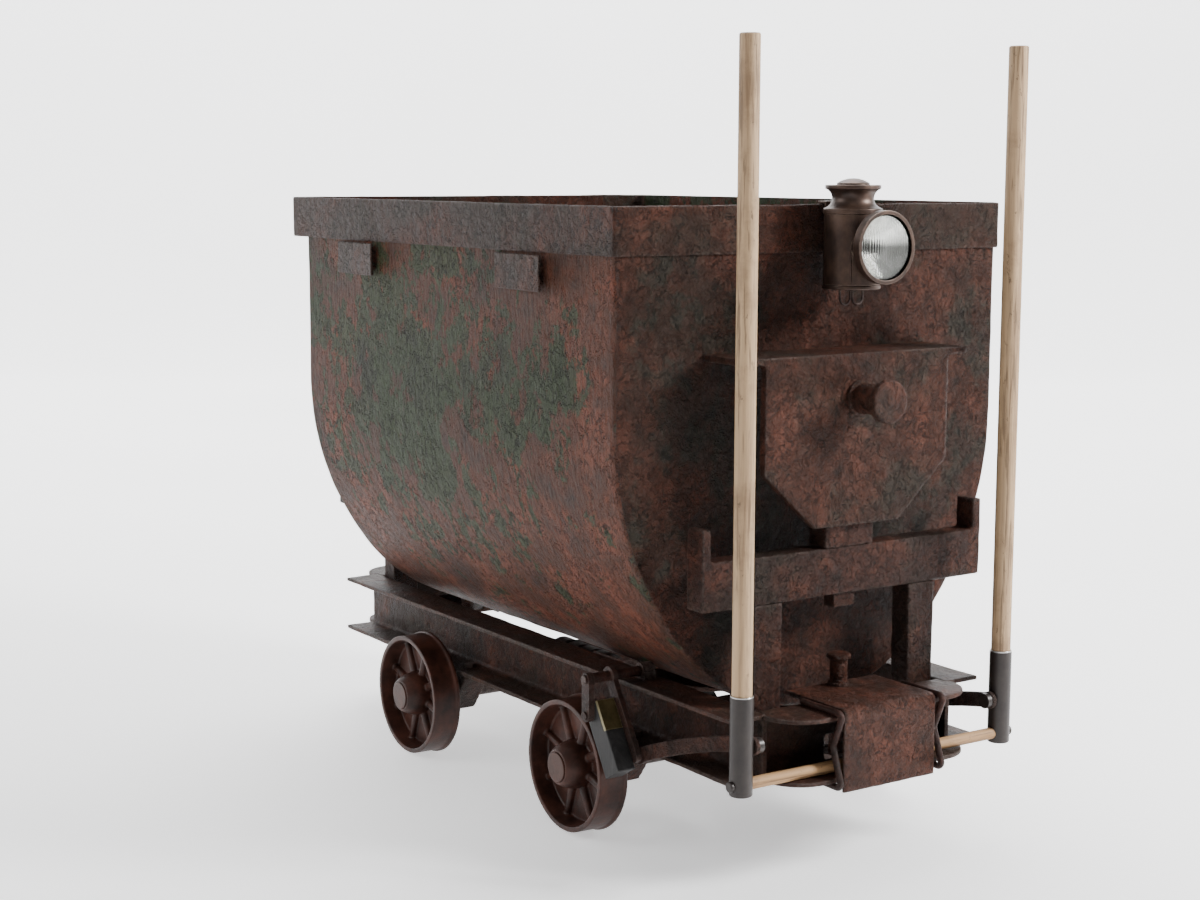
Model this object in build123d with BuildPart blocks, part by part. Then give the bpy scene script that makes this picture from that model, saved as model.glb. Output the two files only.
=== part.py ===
from build123d import *
import math
import os

# Mine cart: a lift-off trough tub on a two-axle rail frame, with wheel brakes
# worked by two wooden poles and a lamp hooked over the front rim.
# Millimetres. +X is the lamp end, +Y the cart's left, +Z up.
# z = 0 is the lowest point of the wheel flanges, midway between the axles.

# ---- tub ----
tub_half_length = 556.0
tub_half_width = 410.0
tub_top = 1102.0
tub_side_bottom = 739.0
tub_bottom = 243.0
tub_bottom_radius = 350.0
tub_wall = 5.0
end_wall = 6.0
rim_height = 80.0
rim_thickness = 5.0
rear_rail_gap = 54.0
rim_corner_radius = 8.0

# ---- side clips ----
clip_xs = (-329.0, 271.0)
clip_length = 158.0
clip_height = 61.0
clip_thickness = 5.0
clip_standoff = 9.0
clip_below_rim = 4.0
clip_bolt_radius = 4.0

# ---- saddles and feet ----
saddle_front = 670.0
saddle_thickness = 18.0
saddle_half_width = 196.0
saddle_bottom_half_width = 90.0
saddle_corner_height = 96.0
saddle_flange_half_width = 240.0
saddle_flange_top = 861.0
saddle_flange_thickness = 12.0
saddle_bottom = 575.0
foot_half_width = 52.0
foot_rise = 30.0
tongue_half_width = 23.0
tongue_depth = 28.0
tongue_below_bar = 24.0
trunnion_height = 787.0
trunnion_radius = 25.0
trunnion_length = 62.0
trunnion_head_radius = 36.0
trunnion_head_thickness = 15.0
trunnion_collar_radius = 30.0
trunnion_collar_thickness = 6.0
eye_from_rear = 156.0
eye_radius = 9.0
eye_wire_radius = 2.5
eye_stem = 3.0

# ---- frame ----
sill_half_length = 684.0
sill_inner = 196.0
sill_web = 10.0
sill_flange_width = 74.0
sill_flange = 8.0
sill_bottom = 172.0
sill_height = 112.0
sill_root_radius = 8.0
sill_back_radius = 2.0
lip_front = 757.0
lip_corner_radius = 70.0
headstock_x = 660.0
headstock_web = 8.0
window_half_width = 60.0
window_height = 52.0
bar_rear = 604.0
bar_depth = 44.0
bar_bottom = 455.0
bar_height = 81.0
bar_half_width = 302.0
bar_end_height = 54.0
bar_end_thickness = 17.0
post_width = 58.0
post_bottom = 180.0
slot_clearance = 1.0
member_x = 252.0
member_bottom = 128.0
member_top = 186.0
member_thickness = 10.0
member_lip = 34.0
member_lip_thickness = 8.0
member_lip_inner = 45.0
cradle_start = 170.0
cradle_end = 340.0
cradle_gap = 13.0
cradle_thickness = 10.0

# ---- coupling gear ----
box_half_width = 99.0
box_rear = 607.0
box_plate = 7.0
box_top_plate = 10.0
box_bottom = 155.0
box_bend_radius = 12.0
pin_x = 629.0
pin_radius = 15.0
pin_head_radius = 20.5
pin_head_thickness = 10.0
pin_top = 349.0
pin_collar_radius = 18.0
pin_collar_thickness = 5.0
pin_bottom = 150.0
pin_clearance = 0.5
drawbar_z = 168.0
drawbar_radius = 13.0
eye_plate_radius = 29.0
eye_plate_thickness = 20.0
ring_width = 40.0
ring_gap = 7.0
ring_count = 4
ring_radius = 38.0
ring_bore_clearance = 0.2
collar_thickness = 8.0
collar_radius = 34.0
washer_radius = 27.0
hoop_y = 110.0
hoop_radius = 5.5
hoop_reach = 14.0
hoop_inset = 10.0
hoop_waist_z = 232.0
hoop_bend = 8.0

# ---- axles and wheels ----
axle_x = 290.0
tread_radius = 117.0
flange_radius = 121.0
axle_radius = 24.0
journal_radius = 19.0
bush_radius = 24.0
running_clearance = 0.05
journal_start = 276.0
journal_end = 334.0
nut_radius = 22.0
nut_thickness = 8.0
wheel_inner = 282.0
flange_thickness = 9.0
wheel_outer = 337.0
ring_inner_radius = 108.0
disc_inner_face = 294.0
disc_outer_face = 303.0
hub_inner_radius = 36.0
hub_radius = 42.0
hub_outer = 351.0
hub_face_radius = 30.0
hub_cavity_radius = 25.0
hub_cavity_start = 333.0
cap_radius = 26.0
cap_seat_depth = 3.0
cap_thickness = 5.0
spoke_count = 8
spoke_root_radius = 8.5
spoke_taper = 1.6
pedestal_inner = 208.0
pedestal_outer = 264.0
pedestal_top_half = 105.0
pedestal_bottom_half = 48.0
pedestal_bottom = 88.0
pedestal_bolt_x = 78.0
pedestal_bolt_radius = 12.0
frame_bolt_height = 8.0

# ---- brake lever ----
lever_x = 727.0
lever_z = 191.0
cross_rod_radius = 10.0
socket_y = 282.0
socket_radius = 19.0
socket_bottom = 174.0
socket_top = 335.0
socket_base = 14.0
pole_radius = 16.5
pole_top = 1363.0
pole_chamfer = 2.0
strap_pin_z = 251.0
strap_pin_radius = 8.0
strap_nut_radius = 13.0
strap_nut_thickness = 9.0
end_bolt_radius = 9.0
end_bolt_head = 7.0

# ---- brake straps ----
strap_height = 26.0
strap_thickness = 8.0
strap_bow = 9.0
strap_eye_radius = 15.0
strap_inner_y = 258.0
strap_outer_y = 287.5
strap_jog_start = 505.0
strap_jog_end = 640.0
strap_side_gap = 0.5

# ---- brake hangers ----
shaft_x = 380.0
shaft_z = 298.0
shaft_radius = 9.0
shaft_inner = 214.0
shaft_journal_radius = 6.0
shaft_head_radius = 7.5
shaft_head = 4.0
bracket_width = 24.0
bracket_half_length = 17.0
bracket_wall = 5.0
link_half_width = 11.0
outer_link_thickness = 12.0
outer_link_length = 64.0
inner_link_thickness = 10.0
inner_link_eye = 16.0
hanger_pin_x = 457.0
hanger_pin_z = 174.0
hanger_pin_radius = 6.0
hanger_eye_slack = 1.6
block_outer = 338.0
block_inner = 303.0
block_gap = 5.0
block_thickness = 44.0
block_angle = 31.3
block_above = 66.0
block_below = 61.0
wear_length = 54.0
wear_thickness = 6.0

# ---- lamp ----
lamp_y = 22.0
lamp_radius = 47.0
lamp_base_z = 963.0
lamp_base_radius = 48.5
lamp_base_height = 7.0
lamp_shoulder = 1087.0
lamp_wall = 1.5
waist_radius = 34.5
flue_wall = 10.0
vent_radius = 46.0
vent_top = 1134.0
cap_dome_radius = 27.0
cap_dome_height = 11.0
cap_edge_height = 3.0
bezel_z = 1034.0
bezel_radius = 60.0
bezel_back_radius = 31.0
bezel_tube_back = 28.0
bezel_back = 47.5
bezel_rim = 72.0
bezel_front = 87.0
bezel_wall = 2.0
lens_radius = 56.5
lens_thickness = 5.0
dish_radius = 52.5
dish_hole_radius = 12.0
burner_radius = 18.0
burner_height = 40.0
wick_radius = 7.0
wick_height = 12.0
hook_thickness = 4.0
hook_width = 30.0
hook_play = 1.0
hook_leg = 24.0
hook_low_end = 50.0
lamp_standoff = 4.0
pad_half_width = 10.0
pad_height = 36.0
wire_radius = 2.0
wire_loop_radius = 11.0
wire_loop_spacing = 27.0
wire_drop = 15.0

# ---- values worked out from the ones above ----
axle_z = flange_radius
ring_pitch = ring_width + ring_gap
ring_start = member_x - ring_count * ring_pitch
rim_front = tub_half_length + rim_thickness
rim_rear = tub_half_length + rear_rail_gap + rim_thickness
rim_bottom = tub_top - rim_height
sill_top = sill_bottom + sill_height
sill_web_outer = sill_inner + sill_web
sill_outer = sill_inner + sill_flange_width
bar_front = bar_rear + bar_depth
bar_top = bar_bottom + bar_height
box_front = lip_front + box_plate
box_top = sill_top + box_top_plate
pole_bottom = socket_bottom + socket_base
cradle_centre_z = tub_bottom + tub_bottom_radius
lamp_x = rim_front + hook_play + hook_thickness + lamp_standoff + lamp_radius
tub_depth = tub_side_bottom - tub_bottom
tub_side_radius = (
    tub_half_width**2 + tub_depth**2 - 2 * tub_depth * tub_bottom_radius
) / (2 * (tub_half_width - tub_bottom_radius))
MIRROR_ENDS = Plane.YZ
MIRROR_SIDES = Plane.XZ

os.makedirs("parts", exist_ok=True)


def save(builder, name):
    """Label a finished piece and write it as a STEP file."""
    builder.part.label = name
    export_step(builder.part, f"parts/{name}.step")


def trough_outline(outward, top):
    """Closed outline of the tub's cross-section, grown outward by a distance.

    Straight sides run into a large side arc, which runs into the bottom arc.
    """
    half = tub_half_width + outward
    side_r = tub_side_radius + outward
    bottom_r = tub_bottom_radius + outward
    side_cy = tub_half_width - tub_side_radius
    bottom_cz = tub_bottom + tub_bottom_radius
    turn = math.atan2(tub_side_bottom - bottom_cz, -side_cy)
    join = (bottom_r * math.cos(turn), bottom_cz - bottom_r * math.sin(turn))
    middle = (
        side_cy + side_r * math.cos(turn / 2),
        tub_side_bottom - side_r * math.sin(turn / 2),
    )
    lowest = (0, bottom_cz - bottom_r)
    Line((-half, top), (half, top))
    Line((half, top), (half, tub_side_bottom))
    ThreePointArc((half, tub_side_bottom), middle, join)
    ThreePointArc(join, lowest, (-join[0], join[1]))
    ThreePointArc((-join[0], join[1]), (-middle[0], middle[1]), (-half, tub_side_bottom))
    Line((-half, tub_side_bottom), (-half, top))


# ---------------------------------------------------------------- tub
with BuildPart() as tub_shell:
    shell_half = tub_half_length - end_wall
    with BuildSketch(Plane.YZ.offset(-shell_half)):
        with BuildLine():
            trough_outline(0, tub_top)
        make_face()
        with BuildLine():
            trough_outline(-tub_wall, tub_top + 1)
        make_face(mode=Mode.SUBTRACT)
    extrude(amount=2 * shell_half)
save(tub_shell, "tub_shell")


with BuildPart() as tub_ends:
    for x_inner in (tub_half_length - end_wall, -tub_half_length):
        with BuildSketch(Plane.YZ.offset(x_inner)):
            with BuildLine():
                trough_outline(0, tub_top)
            make_face()
        extrude(amount=end_wall)
save(tub_ends, "tub_ends")

with BuildPart() as rim_band:
    rim_length = rim_front + rim_rear
    rim_middle = (rim_front - rim_rear) / 2
    rim_width = 2 * (tub_half_width + rim_thickness)
    with BuildSketch(Plane.XY.offset(rim_bottom)):
        with Locations((rim_middle, 0)):
            RectangleRounded(rim_length, rim_width, rim_corner_radius)
            Rectangle(
                rim_length - 2 * rim_thickness,
                rim_width - 2 * rim_thickness,
                mode=Mode.SUBTRACT,
            )
    extrude(amount=rim_height)
save(rim_band, "rim_band")

with BuildPart() as side_clips:
    clip_top = rim_bottom - clip_below_rim
    for centre in clip_xs:
        start = centre - clip_length / 2
        end = centre + clip_length / 2
        with BuildSketch(Plane.XY.offset(clip_top - clip_height)):
            with BuildLine():
                Polyline(
                    (start, -tub_half_width),
                    (start + clip_thickness, -tub_half_width),
                    (end, -tub_half_width - clip_standoff),
                    (end, -tub_half_width - clip_standoff - clip_thickness),
                    (start, -tub_half_width - clip_thickness),
                    close=True,
                )
            make_face()
        extrude(amount=clip_height)
        for fraction in (0.3, 0.75):
            bolt_z = clip_top - fraction * clip_height
            with BuildSketch(Plane.XZ.offset(tub_half_width)):
                with Locations((end - 2 * clip_bolt_radius, bolt_z)):
                    Circle(clip_bolt_radius)
            extrude(amount=clip_standoff)
    mirror(about=MIRROR_SIDES)
save(side_clips, "side_clips")


with BuildPart() as saddles:
    flange_length = saddle_front - tub_half_length
    flange_bottom = saddle_flange_top - saddle_flange_thickness
    corner_z = saddle_bottom + saddle_corner_height
    with BuildSketch(Plane.XY.offset(flange_bottom)):
        with Locations((tub_half_length + flange_length / 2, 0)):
            Rectangle(flange_length, 2 * saddle_flange_half_width)
    extrude(amount=saddle_flange_thickness)
    with BuildSketch(Plane.YZ.offset(saddle_front - saddle_thickness)):
        with BuildLine():
            Polyline(
                (-saddle_half_width, flange_bottom),
                (-saddle_half_width, corner_z),
                (-saddle_bottom_half_width, saddle_bottom),
                (saddle_bottom_half_width, saddle_bottom),
                (saddle_half_width, corner_z),
                (saddle_half_width, flange_bottom),
                close=True,
            )
        make_face()
    extrude(amount=saddle_thickness)
    mirror(about=MIRROR_ENDS)
save(saddles, "saddles")

with BuildPart() as saddle_feet:
    foot_depth = saddle_front - saddle_thickness - bar_rear - slot_clearance
    foot_x = bar_rear + slot_clearance + foot_depth / 2
    tongue_x = bar_rear + bar_depth / 2
    with BuildSketch(Plane.XY.offset(bar_top)):
        with Locations((foot_x, 0)):
            Rectangle(foot_depth, 2 * foot_half_width)
    extrude(amount=saddle_bottom + foot_rise - bar_top)
    with BuildSketch(Plane.XY.offset(bar_bottom - tongue_below_bar)):
        with Locations((tongue_x, 0)):
            Rectangle(tongue_depth, 2 * tongue_half_width)
    extrude(amount=bar_height + tongue_below_bar)
    mirror(about=MIRROR_ENDS)
save(saddle_feet, "saddle_feet")

with BuildPart() as trunnions:
    with BuildSketch(Plane.YZ.offset(saddle_front)):
        with Locations((0, trunnion_height)):
            Circle(trunnion_collar_radius)
    extrude(amount=trunnion_collar_thickness)
    with BuildSketch(Plane.YZ.offset(saddle_front)):
        with Locations((0, trunnion_height)):
            Circle(trunnion_radius)
    extrude(amount=trunnion_length)
    with BuildSketch(Plane.YZ.offset(saddle_front + trunnion_length)):
        with Locations((0, trunnion_height)):
            Circle(trunnion_head_radius)
    extrude(amount=trunnion_head_thickness)
    fillet(edges().filter_by(GeomType.CIRCLE).sort_by(Axis.X)[-2:], trunnion_head_thickness / 3)
    mirror(about=MIRROR_ENDS)
save(trunnions, "trunnions")

with BuildPart() as drain_eye:
    eye_x = eye_from_rear - tub_half_length
    eye_centre = (eye_x, 0, tub_bottom - eye_stem - eye_radius)
    with BuildSketch(Plane(origin=eye_centre, x_dir=(1, 0, 0), z_dir=(0, -1, 0))):
        Circle(eye_radius + eye_wire_radius)
        Circle(eye_radius - eye_wire_radius, mode=Mode.SUBTRACT)
    extrude(amount=eye_wire_radius, both=True)
    fillet(edges().filter_by(GeomType.CIRCLE), eye_wire_radius * 0.6)
    with BuildSketch(Plane.XY.offset(tub_bottom)):
        with Locations((eye_x, 0)):
            Circle(eye_wire_radius)
    extrude(amount=-eye_stem - eye_wire_radius / 2)
save(drain_eye, "drain_eye")


# ---------------------------------------------------------------- frame
with BuildPart() as sills:
    with BuildSketch(Plane.YZ.offset(-sill_half_length)):
        with BuildLine():
            Polyline(
                (-sill_inner, sill_bottom),
                (-sill_inner, sill_top),
                (-sill_outer, sill_top),
                (-sill_outer, sill_top - sill_flange),
                (-sill_web_outer, sill_top - sill_flange),
                (-sill_web_outer, sill_bottom + sill_flange),
                (-sill_outer, sill_bottom + sill_flange),
                (-sill_outer, sill_bottom),
                close=True,
            )
        make_face()
        by_width = vertices().group_by(Axis.X)
        fillet(by_width[1], sill_root_radius)
        back_corners = vertices().group_by(Axis.X)[-1]
        fillet(back_corners, sill_back_radius)
    extrude(amount=2 * sill_half_length)
    mirror(about=MIRROR_SIDES)
save(sills, "sills")

with BuildPart() as headstocks:
    with BuildSketch(Plane.YZ.offset(headstock_x)):
        with Locations((0, sill_bottom + sill_height / 2)):
            Rectangle(2 * sill_inner, sill_height)
        with Locations((0, sill_bottom + window_height / 2)):
            Rectangle(2 * window_half_width, window_height, mode=Mode.SUBTRACT)
    extrude(amount=headstock_web)
    for level in (sill_bottom, sill_top - sill_flange):
        with BuildSketch(Plane.XY.offset(level)):
            lip_length = lip_front - sill_half_length
            with Locations((sill_half_length + lip_length / 2, 0)):
                Rectangle(lip_length, 2 * sill_web_outer)
            outer_corners = vertices().group_by(Axis.X)[-1]
            fillet(outer_corners, lip_corner_radius)
            tail = sill_half_length - headstock_x
            with Locations((headstock_x + tail / 2, 0)):
                Rectangle(tail, 2 * sill_inner)
        extrude(amount=sill_flange)
    mirror(about=MIRROR_ENDS)
save(headstocks, "headstocks")

with BuildPart() as cradle_posts:
    with BuildSketch(Plane.XY.offset(post_bottom)):
        for side in (-1, 1):
            with Locations((bar_rear + bar_depth / 2, side * (sill_inner - post_width / 2))):
                Rectangle(bar_depth, post_width)
    extrude(amount=bar_bottom - post_bottom)
    mirror(about=MIRROR_ENDS)
save(cradle_posts, "cradle_posts")

with BuildPart() as crossbars:
    with BuildSketch(Plane.YZ.offset(bar_rear)):
        inner_half = bar_half_width - bar_end_thickness
        with BuildLine():
            Polyline(
                (-bar_half_width, bar_bottom),
                (bar_half_width, bar_bottom),
                (bar_half_width, bar_top + bar_end_height),
                (inner_half, bar_top + bar_end_height),
                (inner_half, bar_top),
                (-inner_half, bar_top),
                (-inner_half, bar_top + bar_end_height),
                (-bar_half_width, bar_top + bar_end_height),
                close=True,
            )
        make_face()
    extrude(amount=bar_depth)
    with BuildSketch(Plane.XY.offset(bar_bottom)):
        with Locations((bar_rear + bar_depth / 2, 0)):
            Rectangle(
                tongue_depth + 2 * slot_clearance, 2 * (tongue_half_width + slot_clearance)
            )
    extrude(amount=bar_height, mode=Mode.SUBTRACT)
    mirror(about=MIRROR_ENDS)
save(crossbars, "crossbars")

with BuildPart() as cross_members:
    with BuildSketch(Plane.YZ.offset(member_x)):
        with Locations((0, (member_bottom + member_top) / 2)):
            Rectangle(2 * sill_inner, member_top - member_bottom)
        with Locations((0, drawbar_z)):
            Circle(drawbar_radius + slot_clearance, mode=Mode.SUBTRACT)
    extrude(amount=member_thickness)
    with BuildSketch(Plane.XY.offset(sill_bottom)):
        lip_x = member_x + member_thickness + member_lip / 2
        lip_width = sill_inner - member_lip_inner
        for side in (-1, 1):
            with Locations((lip_x, side * (member_lip_inner + lip_width / 2))):
                Rectangle(member_lip, lip_width)
    extrude(amount=member_lip_thickness)
    mirror(about=MIRROR_ENDS)
save(cross_members, "cross_members")

with BuildPart() as tub_cradles:
    cradle_outer = tub_bottom_radius + cradle_gap + cradle_thickness
    with BuildSketch(Plane.YZ.offset(cradle_start)):
        with Locations((0, cradle_centre_z)):
            Circle(cradle_outer)
            Circle(cradle_outer - cradle_thickness, mode=Mode.SUBTRACT)
        with Locations((0, cradle_centre_z - cradle_outer)):
            Rectangle(2 * sill_inner, cradle_outer, mode=Mode.INTERSECT)
    extrude(amount=cradle_end - cradle_start)
save(tub_cradles, "tub_cradles")


# ---------------------------------------------------------------- coupling gear
with BuildPart() as coupling_boxes:
    with BuildSketch(Plane.XZ.offset(-box_half_width)):
        with BuildLine():
            Polyline(
                (box_rear, sill_top),
                (box_rear, box_top),
                (box_front, box_top),
                (box_front, box_bottom),
                (lip_front, box_bottom),
                (lip_front, sill_top),
                close=True,
            )
        make_face()
        bend = vertices().sort_by(Axis.X).group_by(Axis.X)[-1].sort_by(Axis.Y)[-1]
        fillet(bend, box_bend_radius)
    extrude(amount=2 * box_half_width)
    with BuildSketch(Plane.XY.offset(sill_top)):
        with Locations((pin_x, 0)):
            Circle(pin_radius + pin_clearance)
    extrude(amount=box_top_plate, mode=Mode.SUBTRACT)
    mirror(about=MIRROR_ENDS)
save(coupling_boxes, "coupling_boxes")


def coupling_pin(sign):
    """Drop-in pin with a mushroom head and a collar that rests on the box."""
    with BuildPart() as pin:
        with Locations((sign * pin_x, 0, pin_bottom)):
            Cylinder(
                pin_radius, pin_top - pin_bottom, align=(Align.CENTER, Align.CENTER, Align.MIN)
            )
        with Locations((sign * pin_x, 0, box_top)):
            Cylinder(
                pin_collar_radius,
                pin_collar_thickness,
                align=(Align.CENTER, Align.CENTER, Align.MIN),
            )
        with Locations((sign * pin_x, 0, pin_top)):
            Cylinder(
                pin_head_radius,
                pin_head_thickness,
                align=(Align.CENTER, Align.CENTER, Align.MAX),
            )
        head_edges = edges().filter_by(GeomType.CIRCLE).filter_by_position(
            Axis.Z, pin_top - pin_head_thickness - 0.1, pin_top + 0.1
        )
        fillet(head_edges.sort_by(SortBy.RADIUS)[-2:], pin_head_thickness * 0.4)
        chamfer(edges().sort_by(Axis.Z)[0], pin_radius * 0.25)
    return pin


save(coupling_pin(1), "coupling_pin_front")
save(coupling_pin(-1), "coupling_pin_rear")

with BuildPart() as drawbar:
    bar_reach = pin_x - eye_plate_radius
    with BuildSketch(Plane.YZ.offset(-bar_reach)):
        with Locations((0, drawbar_z)):
            Circle(drawbar_radius)
    extrude(amount=2 * bar_reach)
    for sign in (-1, 1):
        with BuildSketch(Plane.XY.offset(drawbar_z - eye_plate_thickness / 2)):
            with Locations((sign * pin_x, 0)):
                Circle(eye_plate_radius)
            with Locations((sign * (pin_x - eye_plate_radius), 0)):
                Rectangle(eye_plate_radius, 2 * drawbar_radius)
        extrude(amount=eye_plate_thickness)
    with BuildSketch(Plane.XY.offset(drawbar_z - drawbar_radius)):
        with Locations((pin_x, 0), (-pin_x, 0)):
            Circle(pin_radius + pin_clearance)
    extrude(amount=2 * drawbar_radius, mode=Mode.SUBTRACT)
save(drawbar, "drawbar")

with BuildPart() as draw_rings:
    for index in range(ring_count):
        with BuildSketch(Plane.YZ.offset(ring_start + index * ring_pitch)):
            with Locations((0, drawbar_z)):
                Circle(ring_radius)
                Circle(drawbar_radius + ring_bore_clearance, mode=Mode.SUBTRACT)
        extrude(amount=ring_width)
    mirror(about=MIRROR_ENDS)
    fillet(edges().filter_by(GeomType.CIRCLE).group_by(SortBy.RADIUS)[-1], ring_gap / 3)
save(draw_rings, "draw_rings")

with BuildPart() as draw_washers:
    for index in range(ring_count + 1):
        plate_width = collar_thickness if index == 0 else ring_gap
        plate_start = ring_start + index * ring_pitch - plate_width
        with BuildSketch(Plane.YZ.offset(plate_start)):
            with Locations((0, drawbar_z)):
                Circle(collar_radius if index == 0 else washer_radius)
                Circle(drawbar_radius, mode=Mode.SUBTRACT)
        extrude(amount=plate_width)
    mirror(about=MIRROR_ENDS)
save(draw_washers, "draw_washers")

with BuildPart() as retaining_hoops:
    hoop_front = lip_front + hoop_reach
    with BuildLine(Plane.XZ.offset(hoop_y)) as hoop_path:
        FilletPolyline(
            (headstock_x + headstock_web, sill_top + hoop_radius),
            (hoop_front, sill_top + hoop_radius),
            (lip_front - hoop_inset, hoop_waist_z),
            (hoop_front, sill_bottom - hoop_radius),
            (sill_half_length, sill_bottom - hoop_radius),
            radius=hoop_bend,
        )
    with BuildSketch(Plane(origin=hoop_path.line @ 0, z_dir=hoop_path.line % 0)):
        Circle(hoop_radius)
    sweep(path=hoop_path.line)
    mirror(about=MIRROR_SIDES)
    mirror(about=MIRROR_ENDS)
save(retaining_hoops, "retaining_hoops")


# ---------------------------------------------------------------- axles
with BuildPart() as axles:
    with BuildSketch(Plane.XZ.offset(-journal_start)):
        with Locations((axle_x, axle_z)):
            Circle(axle_radius)
    extrude(amount=2 * journal_start)
    with BuildSketch(Plane.XZ.offset(-journal_end)):
        with Locations((axle_x, axle_z)):
            Circle(journal_radius)
    extrude(amount=2 * journal_end)
    mirror(about=MIRROR_ENDS)
save(axles, "axles")

with BuildPart() as axle_nuts:
    with BuildSketch(Plane.XZ.offset(journal_end)):
        with Locations((axle_x, axle_z)):
            RegularPolygon(nut_radius, 6)
    extrude(amount=nut_thickness)
    mirror(about=MIRROR_SIDES)
    mirror(about=MIRROR_ENDS)
save(axle_nuts, "axle_nuts")

with BuildPart() as axle_pedestals:
    with BuildSketch(Plane.XZ.offset(pedestal_inner)):
        with BuildLine():
            Polyline(
                (axle_x - pedestal_top_half, sill_bottom),
                (axle_x + pedestal_top_half, sill_bottom),
                (axle_x + pedestal_top_half, sill_bottom - sill_flange),
                (axle_x + pedestal_bottom_half, pedestal_bottom),
                (axle_x - pedestal_bottom_half, pedestal_bottom),
                (axle_x - pedestal_top_half, sill_bottom - sill_flange),
                close=True,
            )
        make_face()
        with Locations((axle_x, axle_z)):
            Circle(axle_radius, mode=Mode.SUBTRACT)
    extrude(amount=pedestal_outer - pedestal_inner)
    mirror(about=MIRROR_SIDES)
    mirror(about=MIRROR_ENDS)
save(axle_pedestals, "axle_pedestals")

with BuildPart() as frame_bolts:
    bolt_y = (pedestal_inner + pedestal_outer) / 2
    with BuildSketch(Plane.XY.offset(sill_bottom + sill_flange)):
        with Locations(
            (axle_x - pedestal_bolt_x, -bolt_y), (axle_x + pedestal_bolt_x, -bolt_y)
        ):
            RegularPolygon(pedestal_bolt_radius, 6)
    extrude(amount=frame_bolt_height)
    mirror(about=MIRROR_SIDES)
    mirror(about=MIRROR_ENDS)
save(frame_bolts, "frame_bolts")


# ---------------------------------------------------------------- wheels
def wheel(sign_x, sign_y):
    """Cast disc wheel: flange inboard, spokes in relief outboard."""
    hub_plane = Plane(origin=(sign_x * axle_x, 0, axle_z), x_dir=(1, 0, 0), z_dir=(0, 1, 0))
    with BuildPart() as casting:
        with BuildSketch(Plane.XY):
            with BuildLine():
                Polyline(
                    (bush_radius, wheel_inner - 4),
                    (hub_inner_radius, wheel_inner - 4),
                    (hub_inner_radius, disc_inner_face),
                    (ring_inner_radius - 6, disc_inner_face),
                    (ring_inner_radius, wheel_inner),
                    (flange_radius, wheel_inner),
                    (flange_radius, wheel_inner + flange_thickness * 0.6),
                    (tread_radius + 0.7, wheel_inner + flange_thickness),
                    (tread_radius, wheel_outer),
                    (ring_inner_radius, wheel_outer),
                    (ring_inner_radius - 5, disc_outer_face),
                    (hub_radius, disc_outer_face),
                )
                hub_side = ThreePointArc(
                    (hub_radius, disc_outer_face),
                    (hub_radius - 3, (disc_outer_face + hub_outer) / 2 + 8),
                    (hub_face_radius, hub_outer),
                )
                Polyline(
                    hub_side @ 1,
                    (cap_radius, hub_outer),
                    (cap_radius, hub_outer - cap_seat_depth),
                    (hub_cavity_radius, hub_outer - cap_seat_depth),
                    (hub_cavity_radius, hub_cavity_start),
                    (bush_radius, hub_cavity_start),
                    (bush_radius, wheel_inner - 4),
                )
            make_face()
        revolve(axis=Axis.Y)
        spoke_start = hub_radius - 6
        spoke_reach = ring_inner_radius - 1 - spoke_start
        for index in range(spoke_count):
            angle = 360 / spoke_count * (index + 0.4)
            direction = Vector(0, 0, 1).rotate(Axis.Y, angle)
            start = direction * spoke_start + Vector(0, disc_outer_face + 4, 0)
            with BuildSketch(Plane(origin=start, x_dir=(0, 1, 0), z_dir=direction)):
                Circle(spoke_root_radius)
            extrude(amount=spoke_reach, taper=spoke_taper)
    placed = casting.part if sign_y > 0 else casting.part.mirror(Plane.XZ)
    with BuildPart() as result:
        add(placed.moved(Location(hub_plane.origin)))
    return result


def wheel_bush(sign_x, sign_y):
    """Plain bearing bush pressed into the wheel's hub."""
    with BuildPart() as bush:
        with BuildSketch(Plane.XZ.offset(-(wheel_inner - 4))):
            with Locations((sign_x * axle_x, axle_z)):
                Circle(bush_radius)
                Circle(journal_radius + running_clearance, mode=Mode.SUBTRACT)
        extrude(amount=-(hub_cavity_start - wheel_inner + 4))
        if sign_y < 0:
            mirror(about=MIRROR_SIDES, mode=Mode.REPLACE)
    return bush


def hub_cap(sign_x, sign_y):
    """Flat disc pressed into the hub's outer face."""
    with BuildPart() as cap:
        with BuildSketch(Plane.XZ.offset(-(hub_outer - cap_seat_depth))):
            with Locations((sign_x * axle_x, axle_z)):
                Circle(cap_radius)
        extrude(amount=-cap_thickness)
        fillet(edges().sort_by(Axis.Y)[-1], cap_thickness * 0.3)
        if sign_y < 0:
            mirror(about=MIRROR_SIDES, mode=Mode.REPLACE)
    return cap


for end_name, sign_x in (("front", 1), ("rear", -1)):
    for side_name, sign_y in (("right", -1), ("left", 1)):
        place = f"{end_name}_{side_name}"
        save(wheel(sign_x, sign_y), f"wheel_{place}")
        save(wheel_bush(sign_x, sign_y), f"bush_{place}")
        save(hub_cap(sign_x, sign_y), f"hub_cap_{place}")


# ---------------------------------------------------------------- brake lever
with BuildPart() as pole_sockets:
    for side in (-1, 1):
        with BuildSketch(Plane.XY.offset(socket_bottom)):
            with Locations((lever_x, side * socket_y)):
                Circle(socket_radius)
        extrude(amount=socket_top - socket_bottom)
    fillet(edges().group_by(Axis.Z)[0], 3)
    for side in (-1, 1):
        with BuildSketch(Plane.XY.offset(pole_bottom)):
            with Locations((lever_x, side * socket_y)):
                Circle(pole_radius)
        extrude(amount=socket_top - pole_bottom, mode=Mode.SUBTRACT)
save(pole_sockets, "pole_sockets")

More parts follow.
